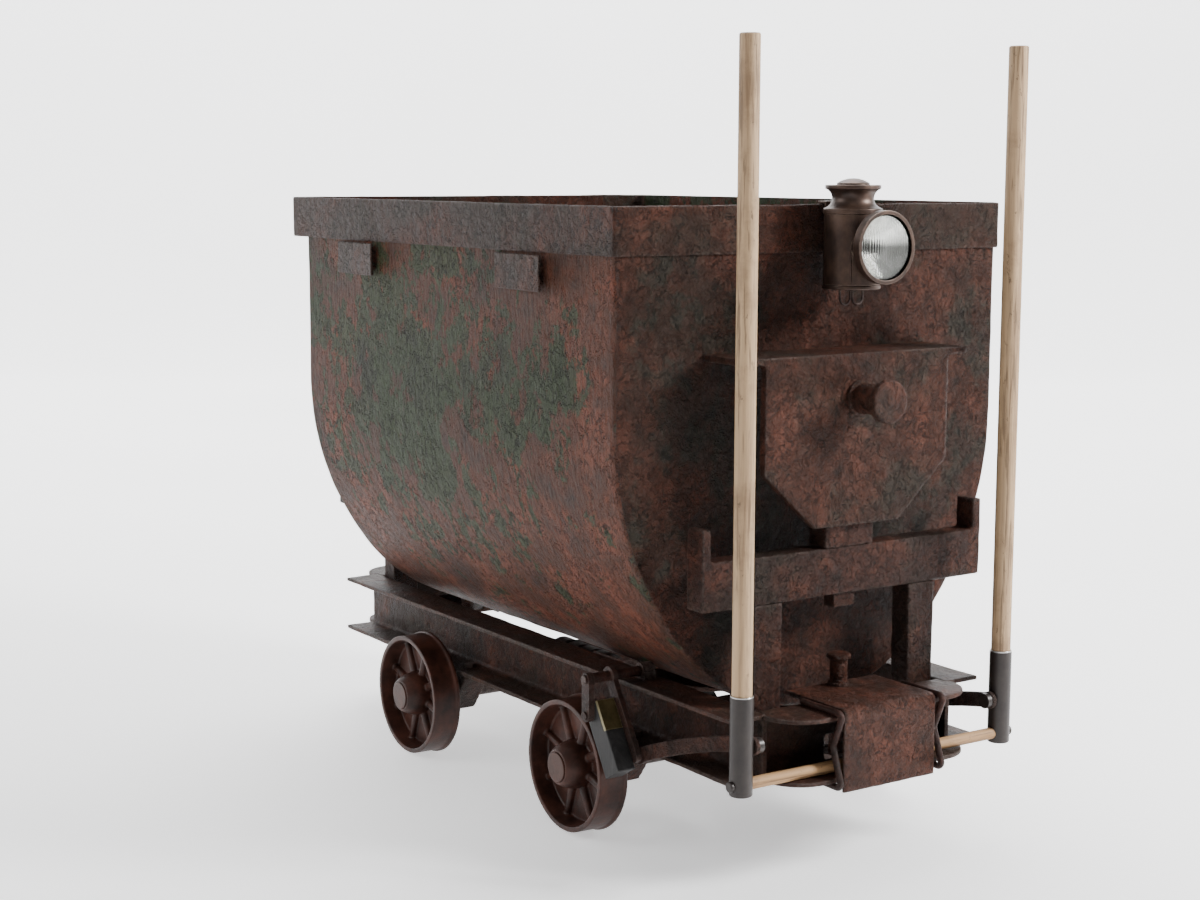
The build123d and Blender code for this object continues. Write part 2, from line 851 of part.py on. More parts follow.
with BuildPart() as brake_poles:
    with BuildSketch(Plane.XY.offset(pole_bottom)):
        with Locations((lever_x, socket_y), (lever_x, -socket_y)):
            Circle(pole_radius)
    extrude(amount=pole_top - pole_bottom)
    chamfer(edges().group_by(Axis.Z)[-1], pole_chamfer)
save(brake_poles, "brake_poles")

with BuildPart() as cross_rod:
    with BuildSketch(Plane.XZ.offset(-socket_y)):
        with Locations((lever_x, lever_z)):
            Circle(cross_rod_radius)
    extrude(amount=2 * socket_y)
    with Locations((lever_x, socket_y, lever_z), (lever_x, -socket_y, lever_z)):
        Cylinder(socket_radius, 4 * cross_rod_radius, mode=Mode.SUBTRACT)
save(cross_rod, "cross_rod")

with BuildPart() as lever_bolts:
    with BuildSketch(Plane.XZ.offset(socket_y + socket_radius - 1)):
        with Locations((lever_x, lever_z)):
            Circle(end_bolt_radius)
    extrude(amount=end_bolt_head)
    fillet(edges().sort_by(Axis.Y)[0], end_bolt_head * 0.4)
    pin_end = strap_inner_y - strap_thickness / 2 - strap_side_gap
    with BuildSketch(Plane.XZ.offset(pin_end)):
        with Locations((lever_x, strap_pin_z)):
            Circle(strap_pin_radius)
    extrude(amount=socket_y - socket_radius + 1 - pin_end)
    with BuildSketch(Plane.XZ.offset(pin_end - strap_nut_thickness)):
        with Locations((lever_x, strap_pin_z)):
            Circle(strap_nut_radius)
    extrude(amount=strap_nut_thickness)
    with Locations((lever_x, -socket_y, socket_bottom)):
        Cylinder(
            socket_radius,
            socket_top - socket_bottom,
            align=(Align.CENTER, Align.CENTER, Align.MIN),
            mode=Mode.SUBTRACT,
        )
    mirror(about=MIRROR_SIDES)
save(lever_bolts, "lever_bolts")


# ---------------------------------------------------------------- brake straps
def brake_strap(sign):
    """Flat bar, bowed upward and joggled inward, with an eye at each end."""
    rear = Vector(hanger_pin_x, hanger_pin_z)
    front = Vector(lever_x, strap_pin_z)
    along = (front - rear).normalized()
    across = Vector(-along.Y, along.X)
    half = strap_height / 2
    middle = (rear + front) * 0.5 + across * strap_bow
    plan_half = strap_thickness / 2
    with BuildPart() as strap:
        with BuildSketch(Plane.XZ) as side_view:
            with BuildLine():
                upper = ThreePointArc(
                    rear + across * half, middle + across * half, front + across * half
                )
                lower = ThreePointArc(
                    rear - across * half, middle - across * half, front - across * half
                )
                Line(upper @ 0, lower @ 0)
                Line(upper @ 1, lower @ 1)
            make_face()
            with Locations((rear.X, rear.Y), (front.X, front.Y)):
                Circle(strap_eye_radius)
            with Locations((rear.X, rear.Y)):
                Circle(hanger_pin_radius + hanger_eye_slack, mode=Mode.SUBTRACT)
            with Locations((front.X, front.Y)):
                Circle(strap_pin_radius + running_clearance, mode=Mode.SUBTRACT)
        extrude(amount=strap_outer_y + strap_thickness)
        with BuildSketch(Plane.XY):
            with BuildLine():
                Polyline(
                    (rear.X - 2 * half, -strap_outer_y - plan_half),
                    (strap_jog_start, -strap_outer_y - plan_half),
                    (strap_jog_end, -strap_inner_y - plan_half),
                    (front.X + 2 * half, -strap_inner_y - plan_half),
                    (front.X + 2 * half, -strap_inner_y + plan_half),
                    (strap_jog_end, -strap_inner_y + plan_half),
                    (strap_jog_start, -strap_outer_y + plan_half),
                    (rear.X - 2 * half, -strap_outer_y + plan_half),
                    close=True,
                )
            make_face()
        extrude(amount=sill_top, mode=Mode.INTERSECT)
        if sign > 0:
            mirror(about=MIRROR_SIDES, mode=Mode.REPLACE)
    return strap


save(brake_strap(-1), "brake_strap_right")
save(brake_strap(1), "brake_strap_left")


# ---------------------------------------------------------------- brake hangers
with BuildPart() as brake_pivots:
    shaft_shoulder = block_outer
    shaft_end = block_outer + outer_link_thickness
    for start, end, radius in (
        (shaft_inner, shaft_shoulder, shaft_radius),
        (shaft_shoulder, shaft_end, shaft_journal_radius),
        (shaft_end, shaft_end + shaft_head, shaft_head_radius),
    ):
        with BuildSketch(Plane.XZ.offset(start)):
            with Locations((shaft_x, shaft_z)):
                Circle(radius)
        extrude(amount=end - start)
    with BuildSketch(Plane.XZ.offset(shaft_inner)):
        with Locations((shaft_x, shaft_z)):
            Circle(shaft_radius + bracket_wall)
        with Locations((shaft_x, (sill_top + shaft_z) / 2)):
            Rectangle(2 * bracket_half_length, shaft_z - sill_top)
    extrude(amount=bracket_width)
    mirror(about=MIRROR_SIDES)
save(brake_pivots, "brake_pivots")


def hanger_links(sign):
    """Short outer link and long inner link of one brake, with their pins."""
    pin_depth = strap_outer_y - strap_thickness
    with BuildPart() as links:
        with BuildSketch(Plane.XZ.offset(block_outer)):
            with Locations((shaft_x, shaft_z - outer_link_length / 2)):
                SlotCenterToCenter(outer_link_length, 2 * link_half_width, rotation=90)
            with Locations((shaft_x, shaft_z)):
                Circle(shaft_journal_radius + running_clearance, mode=Mode.SUBTRACT)
        extrude(amount=outer_link_thickness)
        with BuildSketch(Plane.XZ.offset(block_outer + outer_link_thickness)):
            with Locations((shaft_x, shaft_z - outer_link_length)):
                Circle(shaft_head_radius)
        extrude(amount=shaft_head)
        reach = Vector(hanger_pin_x - shaft_x, hanger_pin_z - shaft_z)
        tilt = math.degrees(math.atan2(reach.Y, reach.X))
        middle = ((hanger_pin_x + shaft_x) / 2, (hanger_pin_z + shaft_z) / 2)
        with BuildSketch(Plane.XZ.offset(block_inner - inner_link_thickness)):
            with Locations(middle):
                SlotCenterToCenter(reach.length, 2 * link_half_width, rotation=tilt)
            with Locations((shaft_x, shaft_z)):
                Circle(inner_link_eye)
                Circle(shaft_radius + running_clearance, mode=Mode.SUBTRACT)
        extrude(amount=inner_link_thickness)
        with BuildSketch(Plane.XZ.offset(pin_depth)):
            with Locations((hanger_pin_x, hanger_pin_z)):
                Circle(hanger_pin_radius)
        extrude(amount=block_inner - pin_depth - inner_link_thickness)
        if sign > 0:
            mirror(about=MIRROR_SIDES, mode=Mode.REPLACE)
    return links


def block_plane(depth):
    """Plane in the block's own directions: x away from the wheel, y upward."""
    angle = math.radians(block_angle)
    return Plane(
        origin=(axle_x, -depth, axle_z),
        x_dir=(math.cos(angle), 0, math.sin(angle)),
        z_dir=(0, -1, 0),
    )


def brake_block(sign):
    """Wooden block that bears on the tread, with a seat for its wear plate."""
    face = tread_radius + block_gap
    with BuildPart() as block:
        with BuildSketch(block_plane(block_inner)):
            with Locations((face, (block_above - block_below) / 2)):
                Rectangle(
                    block_thickness,
                    block_above + block_below,
                    align=(Align.MIN, Align.CENTER),
                )
            with Locations((face + block_thickness, block_above)):
                Rectangle(
                    wear_thickness,
                    wear_length,
                    align=(Align.MAX, Align.MAX),
                    mode=Mode.SUBTRACT,
                )
        extrude(amount=block_outer - block_inner)
        if sign > 0:
            mirror(about=MIRROR_SIDES, mode=Mode.REPLACE)
    return block


def wear_plate(sign):
    """Brass plate let into the upper half of the block's outer face."""
    face = tread_radius + block_gap + block_thickness
    with BuildPart() as plate:
        with BuildSketch(block_plane(block_inner)):
            with Locations((face, block_above)):
                Rectangle(wear_thickness, wear_length, align=(Align.MAX, Align.MAX))
        extrude(amount=block_outer - block_inner)
        if sign > 0:
            mirror(about=MIRROR_SIDES, mode=Mode.REPLACE)
    return plate


for side_name, sign in (("right", -1), ("left", 1)):
    save(hanger_links(sign), f"hanger_links_{side_name}")
    save(brake_block(sign), f"brake_block_{side_name}")
    save(wear_plate(sign), f"wear_plate_{side_name}")


# ---------------------------------------------------------------- lamp
with BuildPart() as lamp_base:
    with Locations((lamp_x, lamp_y, lamp_base_z)):
        Cylinder(
            lamp_base_radius, lamp_base_height, align=(Align.CENTER, Align.CENTER, Align.MIN)
        )
    fillet(edges().filter_by(GeomType.CIRCLE), lamp_base_height * 0.3)
save(lamp_base, "lamp_base")

with BuildPart() as lamp_body:
    body_bottom = lamp_base_z + lamp_base_height
    with BuildSketch(Plane.XY.offset(body_bottom)):
        with Locations((lamp_x, lamp_y)):
            Circle(lamp_radius)
            Circle(lamp_radius - lamp_wall, mode=Mode.SUBTRACT)
    extrude(amount=lamp_shoulder - body_bottom)
    with BuildSketch(Plane.YZ.offset(lamp_x)):
        with Locations((lamp_y, bezel_z)):
            Circle(bezel_back_radius)
    extrude(amount=lamp_radius, mode=Mode.SUBTRACT)
save(lamp_body, "lamp_body")


def lamp_axis_plane():
    """Upright plane through the lamp's own axis, for turned profiles."""
    return Plane(origin=(lamp_x, lamp_y, 0), x_dir=(1, 0, 0), z_dir=(0, -1, 0))


lamp_axis = Axis((lamp_x, lamp_y, 0), (0, 0, 1))

with BuildPart() as lamp_chimney:
    waist_z = (lamp_shoulder + vent_top) / 2 + 2
    with BuildSketch(lamp_axis_plane()):
        with BuildLine():
            inner_radius = waist_radius - flue_wall
            Polyline(
                (inner_radius, lamp_shoulder),
                (lamp_radius + 2, lamp_shoulder),
                (lamp_radius + 2, lamp_shoulder + 8),
                (lamp_radius - 2, lamp_shoulder + 10),
            )
            ThreePointArc(
                (lamp_radius - 2, lamp_shoulder + 10),
                (waist_radius, waist_z),
                (vent_radius, vent_top - 6),
            )
            Polyline(
                (vent_radius, vent_top - 6),
                (vent_radius, vent_top),
                (inner_radius, vent_top),
                (inner_radius, lamp_shoulder),
            )
        make_face()
    revolve(axis=lamp_axis)
save(lamp_chimney, "lamp_chimney")

with BuildPart() as lamp_cap:
    crown_top = vent_top + cap_dome_height
    crown_rise = cap_dome_height - cap_edge_height
    crown_radius = (cap_dome_radius**2 + crown_rise**2) / (2 * crown_rise)
    half_way = cap_dome_radius / 2
    half_way_drop = crown_radius - math.sqrt(crown_radius**2 - half_way**2)
    with BuildSketch(lamp_axis_plane()):
        with BuildLine():
            Polyline(
                (0, crown_top),
                (0, vent_top),
                (cap_dome_radius, vent_top),
                (cap_dome_radius, vent_top + cap_edge_height),
            )
            ThreePointArc(
                (cap_dome_radius, vent_top + cap_edge_height),
                (half_way, crown_top - half_way_drop),
                (0, crown_top),
            )
        make_face()
    revolve(axis=lamp_axis)
save(lamp_cap, "lamp_cap")

beam_plane = Plane(origin=(lamp_x, lamp_y, bezel_z), x_dir=(1, 0, 0), z_dir=(0, -1, 0))
beam_axis = Axis((lamp_x, lamp_y, bezel_z), (1, 0, 0))

with BuildPart() as lamp_bezel:
    with BuildSketch(beam_plane):
        with BuildLine():
            seat = lens_radius + 1
            Polyline(
                (bezel_tube_back, bezel_back_radius),
                (bezel_back, bezel_back_radius),
                (bezel_rim, bezel_radius),
                (bezel_front, bezel_radius),
                (bezel_front, lens_radius - 3),
                (bezel_front - 2, lens_radius - 3),
                (bezel_front - 2, seat),
                (bezel_rim + 1, seat),
                (bezel_back + 2 * bezel_wall, bezel_back_radius - bezel_wall),
                (bezel_tube_back, bezel_back_radius - bezel_wall),
                close=True,
            )
        make_face()
    revolve(axis=beam_axis)
save(lamp_bezel, "lamp_bezel")

with BuildPart() as lamp_lens:
    with BuildSketch(Plane.YZ.offset(lamp_x + bezel_front - 2 - lens_thickness)):
        with Locations((lamp_y, bezel_z)):
            Circle(lens_radius)
    extrude(amount=lens_thickness)
save(lamp_lens, "lamp_lens")

with BuildPart() as lamp_reflector:
    dish_front = bezel_front - 2 - lens_thickness
    dish_rear = bezel_back + 6
    with BuildSketch(beam_plane):
        with BuildLine():
            outer = Spline(
                (dish_rear, dish_hole_radius),
                (dish_rear + 10, dish_hole_radius + 18),
                (dish_front - lamp_wall, dish_radius),
            )
            Polyline(
                outer @ 1,
                (dish_front - lamp_wall, lens_radius + 1),
                (dish_front, lens_radius + 1),
                (dish_front, dish_radius - lamp_wall),
            )
            inner = Spline(
                (dish_front, dish_radius - lamp_wall),
                (dish_rear + 10 + lamp_wall, dish_hole_radius + 18 - lamp_wall),
                (dish_rear + lamp_wall, dish_hole_radius),
            )
            Line(inner @ 1, outer @ 0)
        make_face()
    revolve(axis=beam_axis)
save(lamp_reflector, "lamp_reflector")

with BuildPart() as lamp_burner:
    burner_z = lamp_base_z + lamp_base_height
    with Locations((lamp_x, lamp_y, burner_z)):
        Cylinder(
            burner_radius, burner_height, align=(Align.CENTER, Align.CENTER, Align.MIN)
        )
    with Locations((lamp_x, lamp_y, burner_z + burner_height)):
        Cylinder(wick_radius, wick_height, align=(Align.CENTER, Align.CENTER, Align.MIN))
save(lamp_burner, "lamp_burner")

with BuildPart() as lamp_hook:
    leg_outer = rim_front + hook_play + hook_thickness
    leg_inner = tub_half_length - end_wall - hook_play - hook_thickness
    hook_top = tub_top + hook_play + hook_thickness
    leg_bottom = lamp_base_z + hook_low_end
    with BuildSketch(Plane.XZ.offset(-lamp_y - hook_width / 2)):
        with BuildLine():
            Polyline(
                (leg_outer, leg_bottom),
                (leg_outer, hook_top),
                (leg_inner, hook_top),
                (leg_inner, hook_top - hook_leg),
                (leg_inner + hook_thickness, hook_top - hook_leg),
                (leg_inner + hook_thickness, hook_top - hook_thickness),
                (leg_outer - hook_thickness, hook_top - hook_thickness),
                (leg_outer - hook_thickness, leg_bottom),
                close=True,
            )
        make_face()
    extrude(amount=hook_width)
    with BuildSketch(Plane.XY.offset(leg_bottom)):
        with Locations((leg_outer + lamp_standoff, lamp_y)):
            Rectangle(2 * lamp_standoff, 2 * pad_half_width)
        with Locations((lamp_x, lamp_y)):
            Circle(lamp_radius, mode=Mode.SUBTRACT)
    extrude(amount=pad_height)
save(lamp_hook, "lamp_hook")

with BuildPart() as lamp_loops:
    for side in (-1, 1):
        loop_y = lamp_y + side * wire_loop_spacing / 2
        loop_plane = Plane(
            origin=(lamp_x, loop_y, lamp_base_z - wire_drop), x_dir=(0, 1, 0), z_dir=(1, 0, 0)
        )
        with BuildLine(loop_plane) as loop_path:
            left_leg = Line((-wire_loop_radius, wire_drop), (-wire_loop_radius, 0))
            bend_arc = ThreePointArc(
                left_leg @ 1, (0, -wire_loop_radius), (wire_loop_radius, 0)
            )
            Line(bend_arc @ 1, (wire_loop_radius, wire_drop))
        with BuildSketch(Plane(origin=loop_path.line @ 0, z_dir=loop_path.line % 0)):
            Circle(wire_radius)
        sweep(path=loop_path.line)
save(lamp_loops, "lamp_loops")
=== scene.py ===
import math

import bmesh
import bpy
import numpy as np
from mathutils import Matrix, Vector


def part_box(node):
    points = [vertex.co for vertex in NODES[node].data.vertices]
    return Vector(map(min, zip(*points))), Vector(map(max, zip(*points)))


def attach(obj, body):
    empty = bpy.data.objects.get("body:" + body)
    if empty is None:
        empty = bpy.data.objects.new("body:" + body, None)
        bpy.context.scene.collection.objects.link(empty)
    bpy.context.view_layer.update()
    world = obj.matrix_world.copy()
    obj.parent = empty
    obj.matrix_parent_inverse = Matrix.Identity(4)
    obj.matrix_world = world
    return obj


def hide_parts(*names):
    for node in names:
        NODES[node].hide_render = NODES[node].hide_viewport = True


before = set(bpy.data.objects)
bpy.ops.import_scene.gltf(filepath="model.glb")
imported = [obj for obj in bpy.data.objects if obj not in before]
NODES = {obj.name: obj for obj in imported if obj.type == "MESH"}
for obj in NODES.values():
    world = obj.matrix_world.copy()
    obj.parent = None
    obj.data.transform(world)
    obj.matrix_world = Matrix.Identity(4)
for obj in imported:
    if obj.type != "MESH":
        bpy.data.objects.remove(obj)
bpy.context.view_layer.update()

# Sizes are in metres and angles in radians unless a comment says otherwise.
HASH_X, HASH_Y, HASH_Z = 73856093, 19349663, 83492791
HASH_SEED, HASH_MIX = 2654435761, 1274126177
OCTAVE_SCALE, OCTAVE_SHIFT = 2.03, 17.3
WELD, SLIVER = 1e-6, 1e-7
SEAM_WELD, SEAM_SLIVER = 1e-5, 1e-6
MIX_FIRST, MIX_SECOND, MIX_RESULT = 6, 7, 2  # colour sockets of the mix node
ROUND_STEPS = 4
CREASE_BEND = 0.9
EDGE_TURN = (0.02, 0.2)
# lighter edge colour: partly worn steel, partly painted highlight
WORN_EDGE_AND_HIGHLIGHT = (0.105, 0.078, 0.068)
CASTING_RELIEF = 0.6
BLOCK_TILT = math.radians(31.3)


def corners(node):
    """Lowest and highest corner of a CAD node, as numpy arrays."""
    low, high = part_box(node)
    return np.array(low), np.array(high)


# ---------------------------------------------------------------- noise
def lattice_noise(points, seed):
    """Smooth value noise in -1..1 at an array of points."""
    cell = np.floor(points).astype(np.int64)
    part = points - cell
    part = part * part * (3 - 2 * part)
    total = np.zeros(len(points))
    for dx in (0, 1):
        wx = part[:, 0] if dx else 1 - part[:, 0]
        for dy in (0, 1):
            wy = part[:, 1] if dy else 1 - part[:, 1]
            for dz in (0, 1):
                wz = part[:, 2] if dz else 1 - part[:, 2]
                key = (cell[:, 0] + dx) * HASH_X
                key ^= (cell[:, 1] + dy) * HASH_Y
                key ^= (cell[:, 2] + dz) * HASH_Z
                key ^= seed * HASH_SEED
                key = (key ^ (key >> 13)) * HASH_MIX
                value = ((key ^ (key >> 16)) & 0xFFFF) / 65535.0
                total += wx * wy * wz * (2 * value - 1)
    return total


def fractal(points, size, octaves, seed):
    """Several octaves of value noise; size is the largest feature in metres."""
    total = np.zeros(len(points))
    weight = 1.0
    scaled = points / size
    for octave in range(octaves):
        total += weight * lattice_noise(scaled, seed + octave)
        scaled = scaled * OCTAVE_SCALE + OCTAVE_SHIFT
        weight *= 0.5
    return total


def read_points(mesh):
    """Vertex positions as an array of rows."""
    co = np.zeros(len(mesh.vertices) * 3)
    mesh.vertices.foreach_get("co", co)
    return co.reshape(-1, 3)


def read_normals(mesh):
    """Vertex normals as an array of rows."""
    co = np.zeros(len(mesh.vertices) * 3)
    mesh.vertex_normals.foreach_get("vector", co)
    return co.reshape(-1, 3)


def write_points(mesh, points):
    mesh.vertices.foreach_set("co", points.ravel())
    mesh.update()


def roughen(mesh, layers, low, high):
    """Push points along their normals by noise layers (size, depth, octaves), inside a box."""
    points = read_points(mesh)
    normals = read_normals(mesh)
    push = np.zeros(len(points))
    for index, (size, depth, octaves) in enumerate(layers):
        push += depth * fractal(points, size, octaves, 11 + 7 * index)
    write_points(mesh, np.clip(points + normals * push[:, None], low, high))


# ---------------------------------------------------------------- pieces
def link(name, mesh):
    obj = bpy.data.objects.new(name, mesh)
    bpy.context.scene.collection.objects.link(obj)
    return obj


def bake_modifiers(obj):
    """Turn an object's modifiers into plain mesh."""
    graph = bpy.context.evaluated_depsgraph_get()
    baked = bpy.data.meshes.new_from_object(obj.evaluated_get(graph))
    obj.modifiers.clear()
    obj.data = baked


def shade(obj, material):
    """Give an object one material and smooth faces."""
    obj.data.materials.clear()
    obj.data.materials.append(material)
    flags = np.full(len(obj.data.polygons), True)
    obj.data.polygons.foreach_set("use_smooth", flags)
    return obj


def close_mesh(bm, name, weld, sliver):
    """Weld seams, drop slivers, turn faces outward and make the mesh."""
    bmesh.ops.remove_doubles(bm, verts=bm.verts, dist=weld)
    bmesh.ops.dissolve_degenerate(bm, edges=bm.edges, dist=sliver)
    bmesh.ops.recalc_face_normals(bm, faces=bm.faces)
    mesh = bpy.data.meshes.new(name)
    bm.to_mesh(mesh)
    bm.free()
    return mesh


def gather(nodes):
    """One mesh from CAD nodes, welded, with their outer limits."""
    bm = bmesh.new()
    for node in nodes:
        bm.from_mesh(NODES[node].data)
    bmesh.ops.remove_doubles(bm, verts=bm.verts, dist=WELD)
    mesh = bpy.data.meshes.new("+".join(nodes))
    bm.to_mesh(mesh)
    bm.free()
    boxes = [corners(node) for node in nodes]
    low = np.min([b[0] for b in boxes], axis=0)
    high = np.max([b[1] for b in boxes], axis=0)
    return mesh, low, high


def forged(name, nodes, body, material, cell, passes, layers):
    """Plate or casting with softened edges and a worked surface."""
    mesh, low, high = gather(nodes)
    obj = link(name, mesh)
    remesh = obj.modifiers.new("cells", "REMESH")
    remesh.mode = "VOXEL"
    remesh.voxel_size = cell
    soften = obj.modifiers.new("soften", "SMOOTH")
    soften.factor = 0.5
    soften.iterations = passes
    bake_modifiers(obj)
    roughen(obj.data, layers, low, high)
    shade(obj, material)
    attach(obj, body)
    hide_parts(*nodes)


def machined(name, nodes, body, material, width, layers=(), segments=2, angle=32):
    """Crisp part with bevelled edges and soft shading between them."""
    mesh, low, high = gather(nodes)
    obj = link(name, mesh)
    bevel = obj.modifiers.new("edges", "BEVEL")
    bevel.width = width
    bevel.segments = segments
    bevel.limit_method = "ANGLE"
    bevel.angle_limit = math.radians(angle)
    bevel.use_clamp_overlap = True
    bake_modifiers(obj)
    if layers:
        roughen(obj.data, layers, low, high)
    shade(obj, material)
    weighted = obj.modifiers.new("normals", "WEIGHTED_NORMAL")
    weighted.keep_sharp = False
    weighted.weight = 80
    bake_modifiers(obj)
    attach(obj, body)
    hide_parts(*nodes)


def lathe(name, loop, centre, axis, body, material, segments):
    """Turn a closed loop of (radius, height) points about an axis direction."""
    axis = Vector(axis).normalized()
    turn = axis.to_track_quat("Z", "Y").to_matrix()
    bm = bmesh.new()
    rings = []
    for radius, height in loop:
        ring = []
        for index in range(segments):
            a = 2 * math.pi * index / segments
            spot = turn @ Vector((radius * math.cos(a), radius * math.sin(a), height))
            ring.append(bm.verts.new(spot + Vector(centre)))
        rings.append(ring)
    for first, second in zip(rings, rings[1:] + rings[:1]):
        for i in range(segments):
            j = (i + 1) % segments
            bm.faces.new((first[i], first[j], second[j], second[i]))
    obj = shade(link(name, close_mesh(bm, name, WELD, SLIVER)), material)
    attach(obj, body)


def round_loop(inner, outer, bottom, top, radius):
    """Closed loop of a turned ring with rounded upper corners."""
    loop = [(inner, bottom), (outer, bottom)]
    for i in range(ROUND_STEPS + 1):
        a = math.pi / 2 * i / ROUND_STEPS
        loop.append((outer - radius * (1 - math.cos(a)), top - radius * (1 - math.sin(a))))
    for i in range(ROUND_STEPS + 1):
        a = math.pi / 2 * i / ROUND_STEPS
        loop.append((inner + radius * (1 - math.sin(a)), top - radius * (1 - math.cos(a))))
    return loop


# ---------------------------------------------------------------- materials
class Shader:
    """A small helper that builds one principled material out of nodes."""

    def __init__(self, name):
        self.material = bpy.data.materials.new(name)
        self.material.use_nodes = True
        self.tree = self.material.node_tree
        self.bsdf = self.tree.nodes["Principled BSDF"]
        self.place = self.add("ShaderNodeTexCoord").outputs["Object"]

    def add(self, kind, **settings):
        node = self.tree.nodes.new(kind)
        for key, value in settings.items():
            setattr(node, key, value)
        return node

    def join(self, value, socket):
        if isinstance(value, bpy.types.NodeSocket):
            self.tree.links.new(value, socket)
        else:
            socket.default_value = value

    def stretch(self, scale, turn=(0, 0, 0), shift=(0, 0, 0)):
        node = self.add("ShaderNodeMapping")
        self.join(self.place, node.inputs["Vector"])
        node.inputs["Scale"].default_value = scale
        node.inputs["Rotation"].default_value = turn
        node.inputs["Location"].default_value = shift
        return node.outputs["Vector"]

    def noise(self, scale, detail=6.0, rough=0.6, vector=None, bend=0.0):
        node = self.add("ShaderNodeTexNoise")
        self.join(vector or self.place, node.inputs["Vector"])
        node.inputs["Scale"].default_value = scale
        node.inputs["Detail"].default_value = detail
        node.inputs["Roughness"].default_value = rough
        node.inputs["Distortion"].default_value = bend
        return node.outputs["Fac"]

    def cells(self, scale, vector=None):
        node = self.add("ShaderNodeTexVoronoi", feature="F1")
        self.join(vector or self.place, node.inputs["Vector"])
        node.inputs["Scale"].default_value = scale
        return node.outputs["Distance"]

    def ramp(self, value, *stops):
        node = self.add("ShaderNodeValToRGB")
        self.join(value, node.inputs["Fac"])
        band = node.color_ramp
        while len(band.elements) < len(stops):
            band.elements.new(0.5)
        for element, (where, tone) in zip(band.elements, stops):
            element.position = where
            element.color = (*tone, 1)
        return node.outputs["Color"]

    def step(self, value, low, high):
        """Smooth 0..1 mask between two levels."""
        node = self.add("ShaderNodeMapRange", interpolation_type="SMOOTHSTEP")
        self.join(value, node.inputs["Value"])
        node.inputs["From Min"].default_value = low
        node.inputs["From Max"].default_value = high
        return node.outputs["Result"]

    def span(self, value, low, high):
        """0..1 value stretched onto low..high."""
        node = self.add("ShaderNodeMapRange")
        self.join(value, node.inputs["Value"])
        node.inputs["To Min"].default_value = low
        node.inputs["To Max"].default_value = high
        return node.outputs["Result"]

    def math(self, operation, first, second=0.5):
        node = self.add("ShaderNodeMath", operation=operation)
        self.join(first, node.inputs[0])
        self.join(second, node.inputs[1])
        return node.outputs[0]

    def mix(self, amount, first, second):
        node = self.add("ShaderNodeMix", data_type="RGBA", blend_type="MIX")
        self.join(amount, node.inputs["Factor"])
        self.join(first if not isinstance(first, tuple) else (*first, 1), node.inputs[MIX_FIRST])
        self.join(second if not isinstance(second, tuple) else (*second, 1), node.inputs[MIX_SECOND])
        return node.outputs[MIX_RESULT]

    def crease(self, scale, width, vector=None):
        """Thin broken lines, 1 in the crease and 0 beside it."""
        swirl = self.noise(scale, 4, 0.58, vector, CREASE_BEND)
        line = self.math("ABSOLUTE", self.math("SUBTRACT", swirl, 0.5))
        return self.step(line, width, 0.0)

    def edge(self, radius, bulge=(0.55, 0.62)):
        """Mask that is 1 on outer edges and 0 on flats, used for wear and, on the rust and tub side, for
        painted edge highlight; bulge is a pointiness band.
        """
        bevel = self.add("ShaderNodeBevel", samples=4)
        bevel.inputs["Radius"].default_value = radius
        geometry = self.add("ShaderNodeNewGeometry")
        dot = self.add("ShaderNodeVectorMath", operation="DOT_PRODUCT")
        self.join(bevel.outputs["Normal"], dot.inputs[0])
        self.join(geometry.outputs["Normal"], dot.inputs[1])
        sharp = self.step(self.math("SUBTRACT", 1.0, dot.outputs["Value"]), *EDGE_TURN)
        convex = self.step(geometry.outputs["Pointiness"], *bulge)
        return self.math("MAXIMUM", sharp, convex)

    def height(self, *parts):
        """Chain of bumps: each part is (value, strength, distance)."""
        normal = None
        for value, strength, distance in parts:
            bump = self.add("ShaderNodeBump", invert=strength < 0)
            self.join(value, bump.inputs["Height"])
            bump.inputs["Strength"].default_value = abs(strength)
            bump.inputs["Distance"].default_value = distance
            if normal is not None:
                self.join(normal, bump.inputs["Normal"])
            normal = bump.outputs["Normal"]
        self.join(normal, self.bsdf.inputs["Normal"])

    def finish(self, color, rough, metal=0.0, specular=0.5):
        self.join(color, self.bsdf.inputs["Base Color"])
        self.join(rough, self.bsdf.inputs["Roughness"])
        self.join(metal, self.bsdf.inputs["Metallic"])
        self.bsdf.inputs["Specular IOR Level"].default_value = specular
        return self.material


